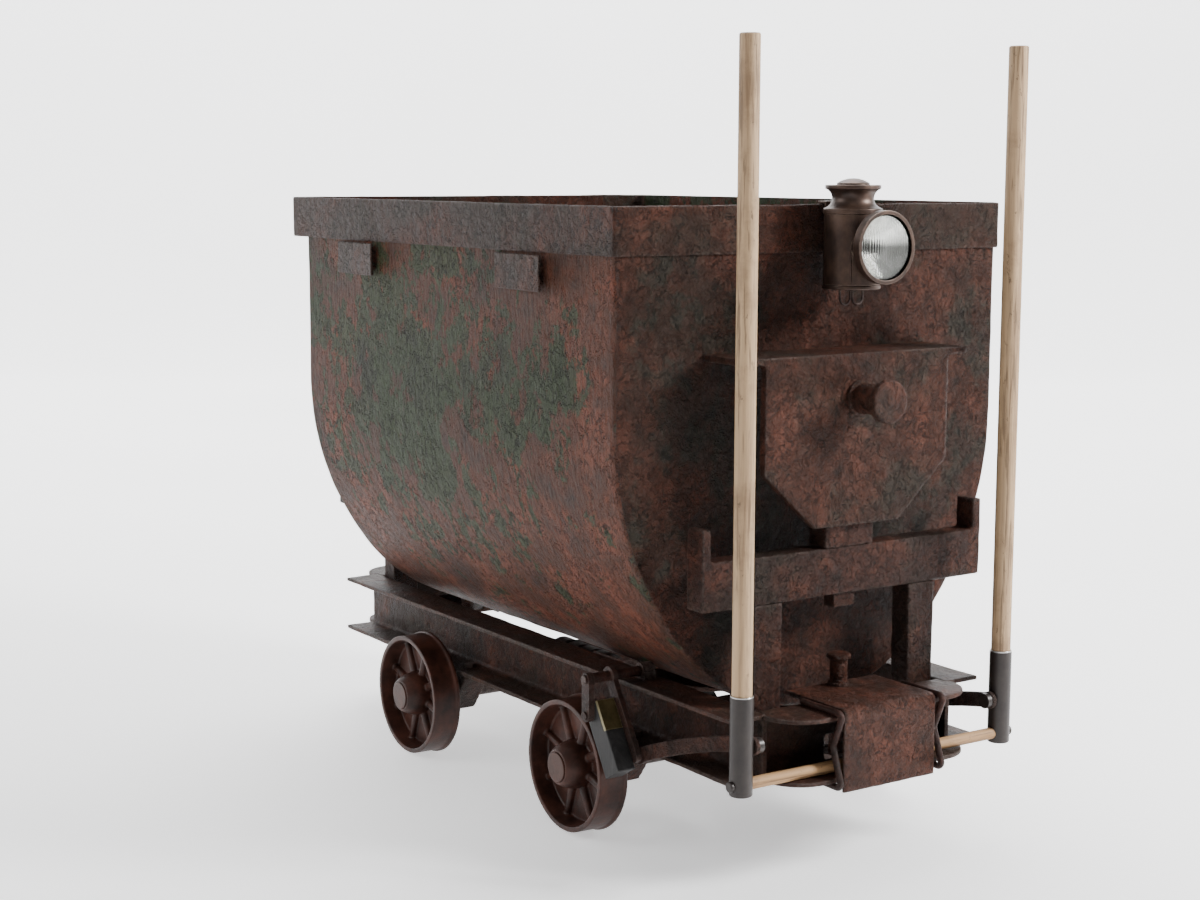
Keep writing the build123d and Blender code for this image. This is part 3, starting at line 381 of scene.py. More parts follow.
def tub_side_paint():
    """Green paint worn through to red-brown rust, with slanting scrapes."""
    s = Shader("tub_side_paint")
    slant = s.stretch((60, 60, 15), (0.0, math.radians(28), 0.0))
    strokes = s.noise(2.2, 6, 0.66, slant, 0.3)
    broad = s.noise(2.8, 4, 0.55)
    patch = s.noise(11.0, 9, 0.70)
    fleck = s.noise(75, 8, 0.72)
    lump = s.noise(36, 7, 0.66, None, 0.4)
    rust = s.ramp(
        patch,
        (0.30, (0.034, 0.014, 0.008)),
        (0.45, (0.092, 0.032, 0.017)),
        (0.57, (0.190, 0.056, 0.030)),
        (0.72, (0.100, 0.040, 0.022)),
    )
    rust = s.mix(s.math("MULTIPLY", s.step(broad, 0.48, 0.60), 0.65), rust, (0.050, 0.028, 0.016))
    middle = s.stretch((1.35, 0.0, 1.9), (0, 0, 0), (0.16, 0.0, -1.52))
    length = s.add("ShaderNodeVectorMath", operation="LENGTH")
    s.join(middle, length.inputs[0])
    heart = s.step(length.outputs["Value"], 1.05, 0.15)
    chips = s.noise(24, 8, 0.74, s.stretch((1, 1, 0.7), (0, 0, 0), (5, 0, 3)), 0.3)
    wear = s.math("ADD", s.math("MULTIPLY", patch, 0.50), s.math("MULTIPLY", chips, 0.62))
    wear = s.math("ADD", wear, s.math("MULTIPLY", broad, 0.22))
    wear = s.math("ADD", wear, s.math("MULTIPLY", heart, 0.10))
    green_mask = s.step(wear, 0.722, 0.742)
    green = s.ramp(
        fleck,
        (0.35, (0.018, 0.030, 0.012)),
        (0.55, (0.034, 0.055, 0.023)),
        (0.72, (0.056, 0.080, 0.042)),
    )
    color = s.mix(s.math("MULTIPLY", green_mask, 0.9), rust, green)
    grime = s.step(s.noise(5.5, 8, 0.7, s.stretch((1, 1, 0.6), (0, 0, 0), (3, 1, 2))), 0.52, 0.66)
    color = s.mix(s.math("MULTIPLY", grime, 0.5), color, (0.013, 0.010, 0.009))
    color = s.mix(s.math("MULTIPLY", s.step(strokes, 0.52, 0.64), 0.42), color, (0.013, 0.014, 0.012))
    creases = s.math("MULTIPLY", s.crease(40, 0.03), s.step(patch, 0.42, 0.56))
    color = s.mix(s.math("MULTIPLY", creases, 0.8), color, (0.006, 0.005, 0.004))
    # Lighter colour on outer edges and the rounded corner: partly real wear, partly painted highlight.
    worn = s.math("MULTIPLY", s.edge(0.010, bulge=(0.508, 0.54)), s.step(s.noise(55, 6, 0.7), 0.34, 0.56))
    color = s.mix(s.math("MULTIPLY", worn, 0.8), color, (0.100, 0.074, 0.064))
    gloss = s.math("ADD", s.math("MULTIPLY", strokes, 0.5), s.math("MULTIPLY", patch, 0.5))
    s.height(
        (patch, 0.6, 0.016),
        (lump, 0.8, 0.014),
        (green_mask, 0.5, 0.0020),
        (strokes, 1.0, 0.016),
        (creases, -1.0, 0.007),
        (fleck, 0.7, 0.006),
    )
    return s.finish(color, s.span(gloss, 0.30, 0.62), 0.0, 0.13)


def rusted(name, seed, tones, green=0.0, edge_radius=0.007, edge_wear_and_highlight_mix=0.7, relief=1.0,
           gloss=(0.24, 0.58)):
    """Brown corroded steel: scaly relief, creases, blotches and lighter edges that are partly wear and
    partly painted highlight.

    The four tones are the hollows, the middle, the high spots and the broad blotches.
    """
    s = Shader(name)
    base = s.stretch((1.0, 1.0, 1.0), (0, 0, 0), (seed * 1.7, seed * 0.9, seed * 2.3))
    broad = s.noise(5.5, 5, 0.58, base)
    patch = s.noise(20, 9, 0.72, base)
    scale = s.noise(46, 7, 0.66, base, 0.7)
    fine = s.noise(170, 6, 0.7, base)
    color = s.ramp(patch, (0.33, tones[0]), (0.49, tones[1]), (0.66, tones[2]))
    color = s.mix(s.math("MULTIPLY", s.step(broad, 0.47, 0.60), 0.75), color, tones[3])
    if green:
        mask = s.math("MULTIPLY", s.step(patch, 0.47, 0.56), s.step(broad, 0.44, 0.54))
        color = s.mix(s.math("MULTIPLY", mask, green), color, (0.018, 0.027, 0.020))
    creases = s.math("MULTIPLY", s.crease(44, 0.028, base), s.step(patch, 0.40, 0.54))
    color = s.mix(s.math("MULTIPLY", creases, 0.85), color, (0.006, 0.005, 0.004))
    color = s.mix(s.math("MULTIPLY", s.step(scale, 0.46, 0.36), 0.6), color, tones[0])
    pits = s.math("MULTIPLY", s.step(s.cells(110, base), 0.20, 0.08), s.step(patch, 0.50, 0.60))
    color = s.mix(s.math("MULTIPLY", pits, 0.85), color, (0.006, 0.005, 0.004))
    # Lighter colour on outer edges: partly real wear, partly painted highlight.
    edges = s.edge(edge_radius, bulge=(0.52, 0.56))
    worn = s.math("MULTIPLY", edges, s.step(s.noise(70, 6, 0.7, base), 0.34, 0.58))
    color = s.mix(s.math("MULTIPLY", worn, edge_wear_and_highlight_mix), color, WORN_EDGE_AND_HIGHLIGHT)
    sheen = s.math("ADD", s.math("MULTIPLY", scale, 0.5), s.math("MULTIPLY", patch, 0.5))
    s.height(
        (patch, 0.9 * relief, 0.024),
        (scale, 1.0 * relief, 0.026),
        (creases, -1.0 * relief, 0.010),
        (pits, -0.8 * relief, 0.005),
        (fine, 0.5 * relief, 0.003),
    )
    return s.finish(color, s.span(sheen, *gloss), 0.0, 0.15)


def pole_wood(name, light, dark, streak_axis):
    """Weathered round timber with fine grain along one axis."""
    s = Shader(name)
    coarse = [75, 75, 75]
    coarse[streak_axis] = 2.6
    hairs = [190, 190, 190]
    hairs[streak_axis] = 9.0
    grain = s.noise(1.0, 8, 0.66, s.stretch(tuple(coarse)), 0.5)
    hair = s.noise(1.0, 6, 0.6, s.stretch(tuple(hairs)), 0.3)
    cloud = s.noise(8, 8, 0.68)
    color = s.ramp(grain, (0.32, dark), (0.50, light), (0.70, tuple(c * 1.18 for c in light)))
    color = s.mix(s.math("MULTIPLY", s.step(hair, 0.47, 0.36), 0.7), color, tuple(c * 0.45 for c in dark))
    color = s.mix(s.math("MULTIPLY", s.step(cloud, 0.50, 0.66), 0.55), color, tuple(c * 0.8 for c in dark))
    spots = s.step(s.noise(95, 4, 0.7, s.stretch((1, 1, 0.5))), 0.62, 0.69)
    color = s.mix(s.math("MULTIPLY", spots, 0.6), color, (0.055, 0.032, 0.018))
    s.height((grain, 0.6, 0.003), (hair, 0.6, 0.0015), (spots, -0.4, 0.001))
    return s.finish(color, s.span(grain, 0.50, 0.72), 0.0, 0.35)


def cast_iron(name, tones):
    """Smooth dark casting with brown rust in the hollows."""
    s = Shader(name)
    patch = s.noise(24, 7, 0.62)
    fine = s.noise(170, 5, 0.65)
    color = s.ramp(patch, (0.34, tones[0]), (0.52, tones[1]), (0.70, tones[2]))
    worn = s.math("MULTIPLY", s.edge(0.004), s.step(fine, 0.36, 0.56))
    color = s.mix(s.math("MULTIPLY", worn, 0.6), color, (0.075, 0.040, 0.031))
    s.height((patch, 0.5 * CASTING_RELIEF, 0.004), (fine, 0.4 * CASTING_RELIEF, 0.0012))
    return s.finish(color, s.span(patch, 0.32, 0.55), 0.0, 0.28)


def dark_timber():
    """Oily near-black timber with grain along the block."""
    s = Shader("dark_timber")
    turn = (0.0, BLOCK_TILT, 0.0)
    grain = s.noise(1.0, 8, 0.65, s.stretch((120, 60, 9), turn), 0.5)
    color = s.ramp(
        grain,
        (0.30, (0.005, 0.005, 0.005)),
        (0.55, (0.014, 0.013, 0.013)),
        (0.75, (0.034, 0.032, 0.030)),
    )
    worn = s.math("MULTIPLY", s.edge(0.004), s.step(s.noise(90, 5, 0.7), 0.40, 0.60))
    color = s.mix(s.math("MULTIPLY", worn, 0.5), color, (0.13, 0.12, 0.105))
    s.height((grain, 0.6, 0.0018))
    return s.finish(color, s.span(grain, 0.45, 0.7), 0.0, 0.4)


def brass_plate():
    """Dull brushed brass with brighter edges."""
    s = Shader("old_brass")
    patch = s.noise(30, 7, 0.65)
    brush = s.noise(1.0, 5, 0.6, s.stretch((180, 30, 20), (0, BLOCK_TILT, 0)))
    color = s.ramp(
        patch,
        (0.32, (0.045, 0.037, 0.016)),
        (0.52, (0.100, 0.078, 0.032)),
        (0.70, (0.150, 0.118, 0.052)),
    )
    worn = s.math("MULTIPLY", s.edge(0.003), 0.6)
    color = s.mix(worn, color, (0.45, 0.40, 0.25))
    s.height((patch, 0.3, 0.001), (brush, 0.3, 0.0006))
    return s.finish(color, s.span(brush, 0.34, 0.55), 0.75, 0.5)


def lamp_patina():
    """Brown patina on the lamp, with darker drips and worn edges."""
    s = Shader("lamp_patina")
    patch = s.noise(26, 7, 0.64)
    drips = s.noise(1.0, 6, 0.62, s.stretch((60, 60, 7)))
    fine = s.noise(190, 5, 0.65)
    color = s.ramp(
        patch,
        (0.30, (0.022, 0.013, 0.010)),
        (0.50, (0.050, 0.029, 0.021)),
        (0.70, (0.088, 0.052, 0.037)),
    )
    color = s.mix(s.math("MULTIPLY", s.step(drips, 0.54, 0.66), 0.5), color, (0.030, 0.022, 0.019))
    worn = s.math("MULTIPLY", s.edge(0.003), s.step(fine, 0.36, 0.56))
    color = s.mix(s.math("MULTIPLY", worn, 0.6), color, (0.30, 0.22, 0.17))
    s.height((patch, 0.2, 0.0015), (fine, 0.15, 0.0005))
    return s.finish(color, s.span(patch, 0.28, 0.52), 0.55, 0.5)


def plain_metal(name, dark, light, rough, metal):
    """Even metal between two tones, with light worn edges."""
    s = Shader(name)
    patch = s.noise(40, 7, 0.64)
    fine = s.noise(210, 4, 0.6)
    color = s.ramp(patch, (0.32, dark), (0.68, light))
    worn = s.math("MULTIPLY", s.edge(0.003), s.step(fine, 0.38, 0.56))
    color = s.mix(s.math("MULTIPLY", worn, 0.5), color, tuple(min(1.0, c * 2.2 + 0.03) for c in light))
    s.height((patch, 0.2, 0.001), (fine, 0.15, 0.0004))
    return s.finish(color, s.span(patch, *rough), metal, 0.5)


def grey_rubber():
    """Dull grey of the draft spring rings."""
    s = Shader("grey_spring")
    patch = s.noise(35, 7, 0.64)
    fine = s.noise(160, 4, 0.6)
    color = s.ramp(patch, (0.32, (0.020, 0.019, 0.018)), (0.68, (0.070, 0.066, 0.062)))
    s.height((patch, 0.35, 0.002), (fine, 0.2, 0.0006))
    return s.finish(color, s.span(patch, 0.45, 0.7), 0.15, 0.5)


def lens_glass():
    """Clear glass with a faint haze."""
    s = Shader("lens_glass")
    haze = s.noise(60, 5, 0.6)
    s.height((haze, 0.08, 0.0005))
    s.bsdf.inputs["Transmission Weight"].default_value = 1.0
    s.bsdf.inputs["IOR"].default_value = 1.48
    tone = s.ramp(haze, (0.35, (0.93, 0.95, 0.94)), (0.65, (0.99, 1.0, 0.99)))
    return s.finish(tone, s.span(haze, 0.02, 0.08), 0.0, 0.5)


def mirror_metal():
    """Tarnished mirror of the lamp's reflector."""
    s = Shader("reflector_metal")
    haze = s.noise(50, 6, 0.62)
    tone = s.ramp(haze, (0.32, (0.62, 0.61, 0.58)), (0.68, (0.90, 0.89, 0.86)))
    s.height((haze, 0.1, 0.0006))
    return s.finish(tone, s.span(haze, 0.10, 0.22), 1.0, 0.5)


RED = ((0.016, 0.007, 0.004), (0.062, 0.023, 0.014), (0.118, 0.041, 0.025), (0.032, 0.019, 0.013))
BROWN = ((0.013, 0.007, 0.005), (0.046, 0.018, 0.012), (0.090, 0.032, 0.019), (0.024, 0.014, 0.010))
DARK = ((0.010, 0.006, 0.005), (0.030, 0.013, 0.010), (0.056, 0.023, 0.016), (0.018, 0.011, 0.009))

SIDE = tub_side_paint()
FRONT = rusted("tub_front_rust", 1, RED, green=0.6, relief=1.0)
RIM = rusted("rim_rust", 2, RED, green=0.35, relief=0.9, edge_wear_and_highlight_mix=0.55)
PLATE = rusted("saddle_rust", 3, RED, green=0.45, relief=0.9)
BAR = rusted("bar_rust", 4, BROWN, green=0.3, relief=0.85)
SILL = rusted("sill_rust", 5, BROWN, green=0.25, relief=0.5, gloss=(0.32, 0.60), edge_wear_and_highlight_mix=0.5)
BOX = rusted("box_rust", 6, RED, relief=0.8)
STEEL = rusted("fittings_rust", 7, DARK, relief=0.35, gloss=(0.32, 0.55), edge_radius=0.004)
IRON = cast_iron("wheel_iron", ((0.016, 0.006, 0.004), (0.040, 0.014, 0.009), (0.072, 0.024, 0.015)))
CAP = cast_iron("cap_iron", ((0.024, 0.010, 0.007), (0.052, 0.022, 0.015), (0.080, 0.036, 0.026)))
SOCKET = plain_metal("socket_metal", (0.014, 0.010, 0.009), (0.030, 0.023, 0.020), (0.32, 0.50), 0.25)
RING = plain_metal("ring_metal", (0.30, 0.29, 0.28), (0.60, 0.58, 0.56), (0.25, 0.4), 0.9)
POLE = pole_wood("pole_timber", (0.40, 0.27, 0.155), (0.22, 0.135, 0.075), 2)
ROD = pole_wood("rod_timber", (0.34, 0.20, 0.095), (0.17, 0.09, 0.04), 1)
TIMBER = dark_timber()
BRASS = brass_plate()
LAMP = lamp_patina()
BUSH = plain_metal("bush_metal", (0.16, 0.11, 0.05), (0.30, 0.22, 0.10), (0.3, 0.5), 0.8)
RUBBER = grey_rubber()
GLASS = lens_glass()
MIRROR = mirror_metal()


# ---------------------------------------------------------------- tub
tub_low, tub_high = corners("tub_ends")
shell_low, shell_high = corners("tub_shell")
HALF_LENGTH = tub_high[0]
HALF_WIDTH = tub_high[1]
TUB_TOP = tub_high[2]
TUB_BOTTOM = tub_low[2]
END_WALL = HALF_LENGTH - shell_high[0]
WALL = 0.005
SIDE_END = 0.739  # height where the upright sides turn into the trough
BOTTOM_RADIUS = 0.350
EDGE_RADIUS = 0.009
TUB_CELL = 0.0065
INNER_STATIONS = 90
OUTER_COLUMNS = 110
INNER_COLUMNS = 60
EDGE_ARC = [math.radians(a) for a in (0, 18, 36, 54, 72, 90)]
DENT_SIZE, DENT_DEPTH = 0.16, 0.0011
SCALE_SIZE, SCALE_DEPTH = 0.028, 0.00055
SCALE_SQUASH = np.array([1.0, 1.0, 0.55])
RIM_FLAT = 0.004
END_FACING = 0.72  # faces turned more than this towards the ends take the front material
depth_below = SIDE_END - TUB_BOTTOM
SIDE_RADIUS = (HALF_WIDTH**2 + depth_below**2 - 2 * depth_below * BOTTOM_RADIUS) / (
    2 * (HALF_WIDTH - BOTTOM_RADIUS)
)


def outline(inset, step):
    """Half outline of the trough from the rim down to the keel, inset inward."""
    side_c = np.array([HALF_WIDTH - SIDE_RADIUS, SIDE_END])
    low_c = np.array([0.0, TUB_BOTTOM + BOTTOM_RADIUS])
    turn = math.atan2(side_c[1] - low_c[1], -side_c[0])
    points = []
    straight = max(2, int(round((TUB_TOP - SIDE_END) / step)))
    for i in range(straight):
        t = i / straight
        points.append((HALF_WIDTH - inset, TUB_TOP + (SIDE_END - TUB_TOP) * t))
    side_count = max(2, int(round(SIDE_RADIUS * turn / step)))
    for i in range(side_count):
        a = turn * i / side_count
        r = SIDE_RADIUS - inset
        points.append((side_c[0] + r * math.cos(a), side_c[1] - r * math.sin(a)))
    low_count = max(2, int(round(BOTTOM_RADIUS * (math.pi / 2 - turn) / step)))
    for i in range(low_count + 1):
        a = turn + (math.pi / 2 - turn) * i / low_count
        r = BOTTOM_RADIUS - inset
        points.append((low_c[0] + r * math.cos(a), low_c[1] - r * math.sin(a)))
    half = np.array(points)
    other = half[-2::-1] * np.array([-1, 1])
    return np.vstack([half, other])


def skin(stations, step):
    """Stack of outlines at (x, inset) stations, open at both ends."""
    rows = []
    for x, inset in stations:
        loop = outline(inset, step)
        rows.append(np.column_stack([np.full(len(loop), x), loop]))
    return np.array(rows)


def end_grid(x, edge_row, columns):
    """Rows of points across an end plate, between matching outline points."""
    count = len(edge_row) // 2
    left = edge_row[:count + 1]
    right = edge_row[::-1][:count + 1]
    t = np.linspace(0, 1, columns)[None, :, None]
    grid = left[:, None, :] * (1 - t) + right[:, None, :] * t
    grid[:, :, 0] = x
    return grid


def grid_faces(bm, grid, flip=False):
    """Quads over a grid of points; returns the grid of new vertices."""
    rows, columns = grid.shape[:2]
    verts = [[bm.verts.new(grid[i, j]) for j in range(columns)] for i in range(rows)]
    for i in range(rows - 1):
        for j in range(columns - 1):
            quad = (verts[i][j], verts[i + 1][j], verts[i + 1][j + 1], verts[i][j + 1])
            bm.faces.new(quad[::-1] if flip else quad)
    return verts


def build_tub():
    """Closed trough: an outer skin with rounded ends and an inner skin, each with its end plates."""
    flat = HALF_LENGTH - EDGE_RADIUS
    middle = np.linspace(-flat, flat, int(2 * flat / TUB_CELL))
    rounded = [(EDGE_RADIUS * math.sin(a), EDGE_RADIUS * (1 - math.cos(a))) for a in EDGE_ARC[1:]]
    stations = [(-flat - reach, inset) for reach, inset in reversed(rounded)]
    stations += [(x, 0.0) for x in middle]
    stations += [(flat + reach, inset) for reach, inset in rounded]
    outer = skin(stations, TUB_CELL)
    inner_half = HALF_LENGTH - END_WALL
    inner_x = np.linspace(-inner_half, inner_half, INNER_STATIONS)
    inner = skin([(x, WALL) for x in inner_x], TUB_CELL)
    bm = bmesh.new()
    grid_faces(bm, outer)
    grid_faces(bm, inner, flip=True)
    for row, flip in ((outer[0], True), (outer[-1], False)):
        grid_faces(bm, end_grid(row[0, 0], row, OUTER_COLUMNS), flip)
    for row, flip in ((inner[0], False), (inner[-1], True)):
        grid_faces(bm, end_grid(row[0, 0], row, INNER_COLUMNS), flip)
    return close_mesh(bm, "tub_skin", SEAM_WELD, SEAM_SLIVER)


tub_mesh = build_tub()
tub = link("tub_skin", tub_mesh)
low = np.minimum(tub_low, shell_low)
high = np.maximum(tub_high, shell_high)
points = read_points(tub_mesh)
normals = read_normals(tub_mesh)
push = DENT_DEPTH * fractal(points, DENT_SIZE, 3, 5)
push += SCALE_DEPTH * fractal(points * SCALE_SQUASH, SCALE_SIZE, 3, 23)
moved = points + normals * push[:, None]
moved = np.clip(moved, low, high)
top_mask = points[:, 2] > TUB_TOP - RIM_FLAT
moved[top_mask, 2] = points[top_mask, 2]
write_points(tub_mesh, moved)
shade(tub, SIDE)
tub_mesh.materials.append(FRONT)
facing = np.array([abs(p.normal.x) > END_FACING for p in tub_mesh.polygons])
tub_mesh.polygons.foreach_set("material_index", facing.astype(np.int32))
tub_mesh.update()
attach(tub, "tub")
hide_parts("tub_shell", "tub_ends")

# Noise layers for a surface: (feature size, depth, octaves).
WORKED = ((0.09, 0.0007, 3), (0.02, 0.00035, 2))
LIGHT = ((0.05, 0.0003, 2),)
FINE = ((0.03, 0.0003, 2),)
forged("rim", ["rim_band"], "tub", RIM, 0.0028, 3, WORKED)
forged("saddle_plates", ["saddles"], "tub", PLATE, 0.0035, 3, WORKED)
forged("clips", ["side_clips"], "tub", RIM, 0.0016, 2, LIGHT)
forged("feet", ["saddle_feet"], "tub", BAR, 0.0032, 3, WORKED)
forged("knobs", ["trunnions"], "tub", BOX, 0.0016, 3, LIGHT)

# ---------------------------------------------------------------- frame
forged("bars", ["crossbars"], "frame", BAR, 0.0032, 3, WORKED)
forged("posts", ["cradle_posts"], "frame", BAR, 0.0032, 3, WORKED)
forged("boxes", ["coupling_boxes"], "frame", BOX, 0.0026, 3, WORKED)
forged("head_plates", ["headstocks"], "frame", SILL, 0.0028, 2, LIGHT)
forged("channels", ["sills"], "frame", SILL, 0.0028, 2, WORKED)
forged("pedestals", ["axle_pedestals"], "frame", SILL, 0.0032, 3, LIGHT)
forged("members", ["cross_members"], "frame", SILL, 0.0032, 3, LIGHT)
forged("cradles", ["tub_cradles"], "frame", SILL, 0.0034, 2, LIGHT)
forged("spring_coils", ["draw_rings"], "frame", RUBBER, 0.0020, 2, LIGHT)
machined("hoops", ["retaining_hoops"], "frame", STEEL, 0.0008, FINE, angle=50)
machined("bolts", ["frame_bolts"], "frame", STEEL, 0.0010)
for end in ("front", "rear"):
    for side in ("right", "left"):
        place = f"{end}_{side}"
        body = f"wheel_{place}_set"
        forged(f"cast_{place}", [f"wheel_{place}"], body, IRON, 0.0017, 3, LIGHT)
        machined(f"cap_{place}", [f"hub_cap_{place}"], body, CAP, 0.0012)
    machined(f"pin_{end}", [f"coupling_pin_{end}"], f"pin_{end}", PLATE, 0.0012)

# ---------------------------------------------------------------- brake gear
machined("poles", ["brake_poles"], "brake_lever", POLE, 0.003, segments=3)
machined("sockets", ["pole_sockets"], "brake_lever", SOCKET, 0.0012)
machined("rod", ["cross_rod"], "brake_lever", ROD, 0.001)
machined("lever_fixings", ["lever_bolts"], "brake_lever", SOCKET, 0.0015)
for side in ("right", "left"):
    machined(f"strap_bar_{side}", [f"brake_strap_{side}"], f"strap_{side}", BAR, 0.0015)
    machined(f"links_{side}", [f"hanger_links_{side}"], f"hanger_{side}", STEEL, 0.0015)
    forged(f"block_{side}", [f"brake_block_{side}"], f"hanger_{side}", TIMBER, 0.0014, 2, FINE)
    machined(f"brass_{side}", [f"wear_plate_{side}"], f"hanger_{side}", BRASS, 0.0008)

# ---------------------------------------------------------------- small fittings
socket_low, socket_high = corners("pole_sockets")
pole_low, pole_high = corners("brake_poles")
SOCKET_X = (socket_low[0] + socket_high[0]) / 2
POLE_RADIUS = (pole_high[0] - pole_low[0]) / 2
SOCKET_RADIUS = (socket_high[0] - socket_low[0]) / 2
RING_CLEARANCE = 0.0002
RING_HEIGHT = 0.0022
RING_ROUND = 0.0009
RING_SEGMENTS = 64
ring = round_loop(POLE_RADIUS + RING_CLEARANCE, SOCKET_RADIUS - RING_CLEARANCE, 0.0, RING_HEIGHT, RING_ROUND)
for side, sign in (("right", -1), ("left", 1)):
    pole_y = sign * (pole_high[1] - POLE_RADIUS)
    lathe(f"socket_ring_{side}", ring, (SOCKET_X, pole_y, socket_high[2]), (0, 0, 1),
          "brake_lever", RING, RING_SEGMENTS)

# ---------------------------------------------------------------- lamp glass
LENS_RISE = 0.006
LENS_ROWS, LENS_COLUMNS = 181, 41
FLUTE_PITCH = 0.0052
FLUTE_DEPTH = 0.0011
FLUTE_FADE = 6  # how quickly the flutes die out at the lens's rim


def fluted_lens():
    """Domed glass disc with upright flutes over its front."""
    low, high = corners("lamp_lens")
    centre = (low + high) / 2
    radius = (high[2] - low[2]) / 2
    rise = min(LENS_RISE, (high[0] - low[0]) * 0.6)
    across = np.linspace(-1, 1, LENS_ROWS)
    down = np.linspace(-1, 1, LENS_COLUMNS)
    y = radius * np.sin(across * math.pi / 2)[:, None] * np.ones((1, LENS_COLUMNS))
    z = np.sqrt(np.maximum(radius**2 - y**2, 0)) * down[None, :]
    reach = (y**2 + z**2) / radius**2
    fade = np.clip(FLUTE_FADE * (1 - reach), 0, 1)
    ribs = np.abs(np.cos(math.pi * y / FLUTE_PITCH)) * FLUTE_DEPTH * fade
    front = np.dstack([high[0] - rise * reach - FLUTE_DEPTH + ribs, centre[1] + y, centre[2] + z])
    back = front.copy()
    back[:, :, 0] = low[0]
    bm = bmesh.new()
    near = grid_faces(bm, front)
    far = grid_faces(bm, back, flip=True)
    rows = len(near)
    for edge in (0, -1):
        for i in range(rows - 1):
            quad = (near[i][edge], near[i + 1][edge], far[i + 1][edge], far[i][edge])
            bm.faces.new(quad)
    return close_mesh(bm, "lens", SEAM_WELD, SEAM_SLIVER)


for part in ("base", "body", "chimney", "cap", "bezel", "hook"):
    machined(f"lantern_{part}", [f"lamp_{part}"], "lamp", LAMP, 0.0009, angle=40)

lens = shade(link("lens", fluted_lens()), GLASS)
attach(lens, "lamp")
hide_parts("lamp_lens")

# ---------------------------------------------------------------- carried-over CAD nodes
PLAIN = {
    "axles": STEEL, "axle_nuts": STEEL, "brake_pivots": STEEL, "drawbar": STEEL,
    "draw_washers": STEEL, "drain_eye": STEEL, "lamp_loops": STEEL,
    "lamp_reflector": MIRROR, "lamp_burner": BUSH,
    "bush_front_right": BUSH, "bush_front_left": BUSH,
    "bush_rear_right": BUSH, "bush_rear_left": BUSH,
}
for node, material in PLAIN.items():
    mesh = NODES[node].data
    mesh.materials.clear()
    mesh.materials.append(material)

# ---------------------------------------------------------------- stage
FLOOR_HALF = 14.0
BACK = 7.0
SWEEP_RADIUS = 2.5
SWEEP_TOP = 9.0
FLOOR_GAP = 0.0005
# painted light: the floor glows, dim near the tub and bright towards the back wall
GLOW_DEPTHS = (-2.5, 5.5)
GLOW_STRENGTHS = (0.35, 3.0)
WORLD_STRENGTH = 0.38
sweep = [(-FLOOR_HALF, 0.0), (BACK, 0.0)]
for a in np.linspace(0.1, math.pi / 2, 14):
    sweep.append((BACK + SWEEP_RADIUS * math.sin(a), SWEEP_RADIUS - SWEEP_RADIUS * math.cos(a)))
sweep.append((BACK + SWEEP_RADIUS, SWEEP_TOP))
CAM_AZ = math.radians(56.356)
CAM_EL = math.radians(7.936)
CAM_ROLL = math.radians(0.138)
look = Vector((-math.sin(CAM_AZ), math.cos(CAM_AZ), 0))
side = Vector((math.cos(CAM_AZ), math.sin(CAM_AZ), 0))
floor_points = []
for along, up in sweep:
    for across in (-FLOOR_HALF, FLOOR_HALF):
        p = look * along + side * across
        floor_points.append((p.x, p.y, up - FLOOR_GAP))
floor_faces = [(2 * i, 2 * i + 1, 2 * i + 3, 2 * i + 2) for i in range(len(sweep) - 1)]
floor_mesh = bpy.data.meshes.new("studio_floor")
floor_mesh.from_pydata(floor_points, [], floor_faces)
floor = link("studio_floor", floor_mesh)
s = Shader("studio_floor")
floor_tone = s.ramp(s.noise(0.7, 2, 0.5), (0.3, (0.80, 0.80, 0.805)), (0.7, (0.83, 0.83, 0.835)))
s.join(floor_tone, s.bsdf.inputs["Emission Color"])
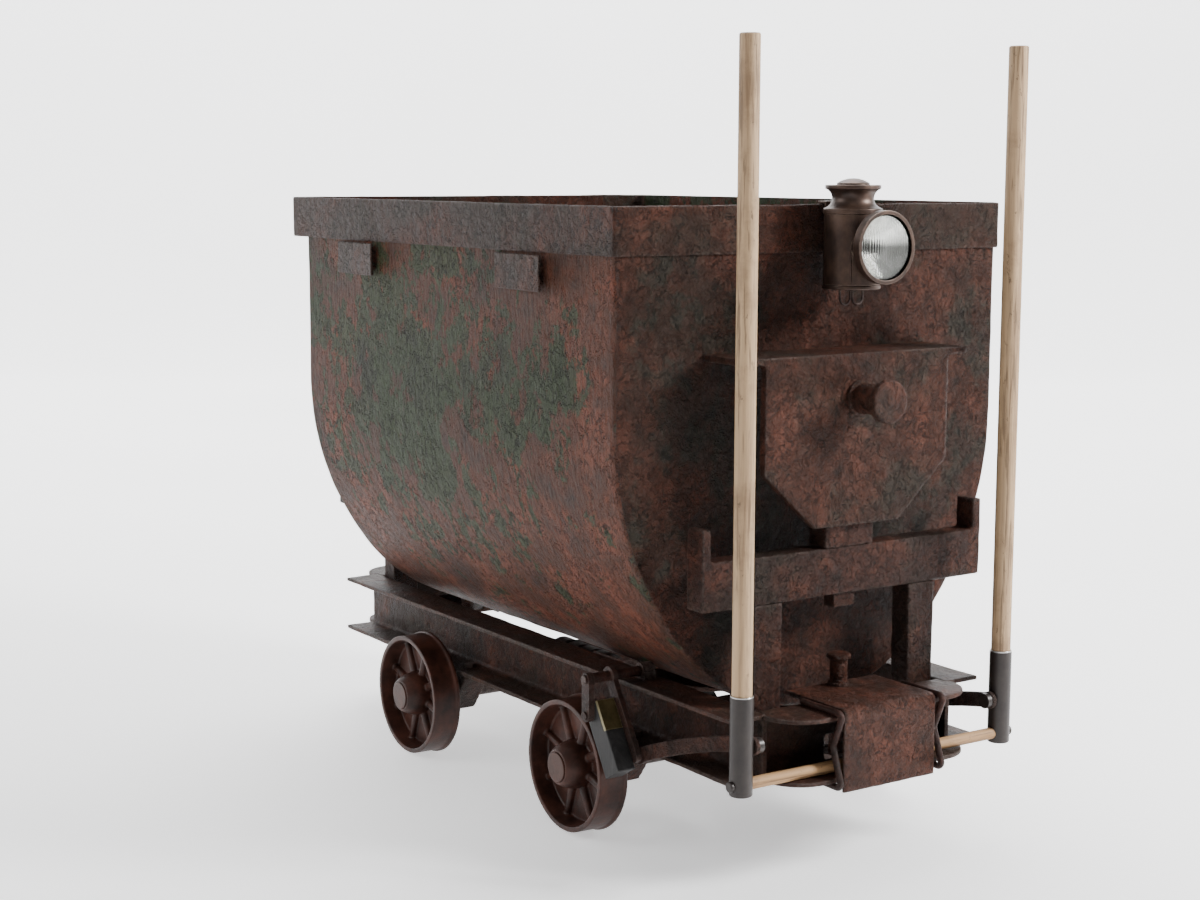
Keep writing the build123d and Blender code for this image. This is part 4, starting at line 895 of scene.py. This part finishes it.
# Painted light: the floor's own glow, faint in front and strong towards the back wall, stands in for a lit
# backdrop and also lights the tub from below.
depth = s.add("ShaderNodeVectorMath", operation="DOT_PRODUCT")
s.join(s.place, depth.inputs[0])
depth.inputs[1].default_value = look
glow = s.span(s.step(depth.outputs["Value"], *GLOW_DEPTHS), *GLOW_STRENGTHS)
s.join(glow, s.bsdf.inputs["Emission Strength"])
shade(floor, s.finish(floor_tone, 0.6, 0.0, 0.3))

world = bpy.data.worlds.new("studio")
bpy.context.scene.world = world
world.use_nodes = True
background = world.node_tree.nodes["Background"]
background.inputs["Color"].default_value = (1.0, 1.0, 1.0, 1)
background.inputs["Strength"].default_value = WORLD_STRENGTH


def area_light(name, where, aim, size, power):
    """White rectangular light at a place, turned towards another."""
    data = bpy.data.lights.new(name, "AREA")
    data.shape = "RECTANGLE"
    data.size = size[0]
    data.size_y = size[1]
    data.energy = power
    obj = bpy.data.objects.new(name, data)
    bpy.context.scene.collection.objects.link(obj)
    obj.location = where
    direction = Vector(aim) - Vector(where)
    obj.rotation_euler = direction.to_track_quat("-Z", "Y").to_euler()


CENTRE = (0.0, 0.0, 0.6)
area_light("key", (3.0, 2.4, 2.6), CENTRE, (1.1, 1.1), 360)
area_light("fill", (-1.5, -4.5, 2.6), CENTRE, (3.5, 2.5), 130)
area_light("top", (-1.0, 0.8, 4.6), CENTRE, (3.0, 3.0), 260)

# ---------------------------------------------------------------- camera
CAMERA_LENS = 60.49  # millimetres
CAMERA_SENSOR = 36.0  # millimetres
CAMERA_PLACE = (3.1794, -2.1840, 1.1591)
level = math.cos(CAM_EL)
back = Vector((math.sin(CAM_AZ) * level, -math.cos(CAM_AZ) * level, math.sin(CAM_EL)))
right = Vector((math.cos(CAM_AZ), math.sin(CAM_AZ), 0))
up = back.cross(right)
rolled_right = right * math.cos(CAM_ROLL) + up * math.sin(CAM_ROLL)
rolled_up = up * math.cos(CAM_ROLL) - right * math.sin(CAM_ROLL)
camera_data = bpy.data.cameras.new("camera")
camera_data.lens = CAMERA_LENS
camera_data.sensor_width = CAMERA_SENSOR
camera_data.sensor_fit = "HORIZONTAL"
camera = bpy.data.objects.new("camera", camera_data)
bpy.context.scene.collection.objects.link(camera)
turn = Matrix((rolled_right, rolled_up, back)).transposed().to_4x4()
camera.matrix_world = Matrix.Translation(CAMERA_PLACE) @ turn
bpy.context.scene.camera = camera
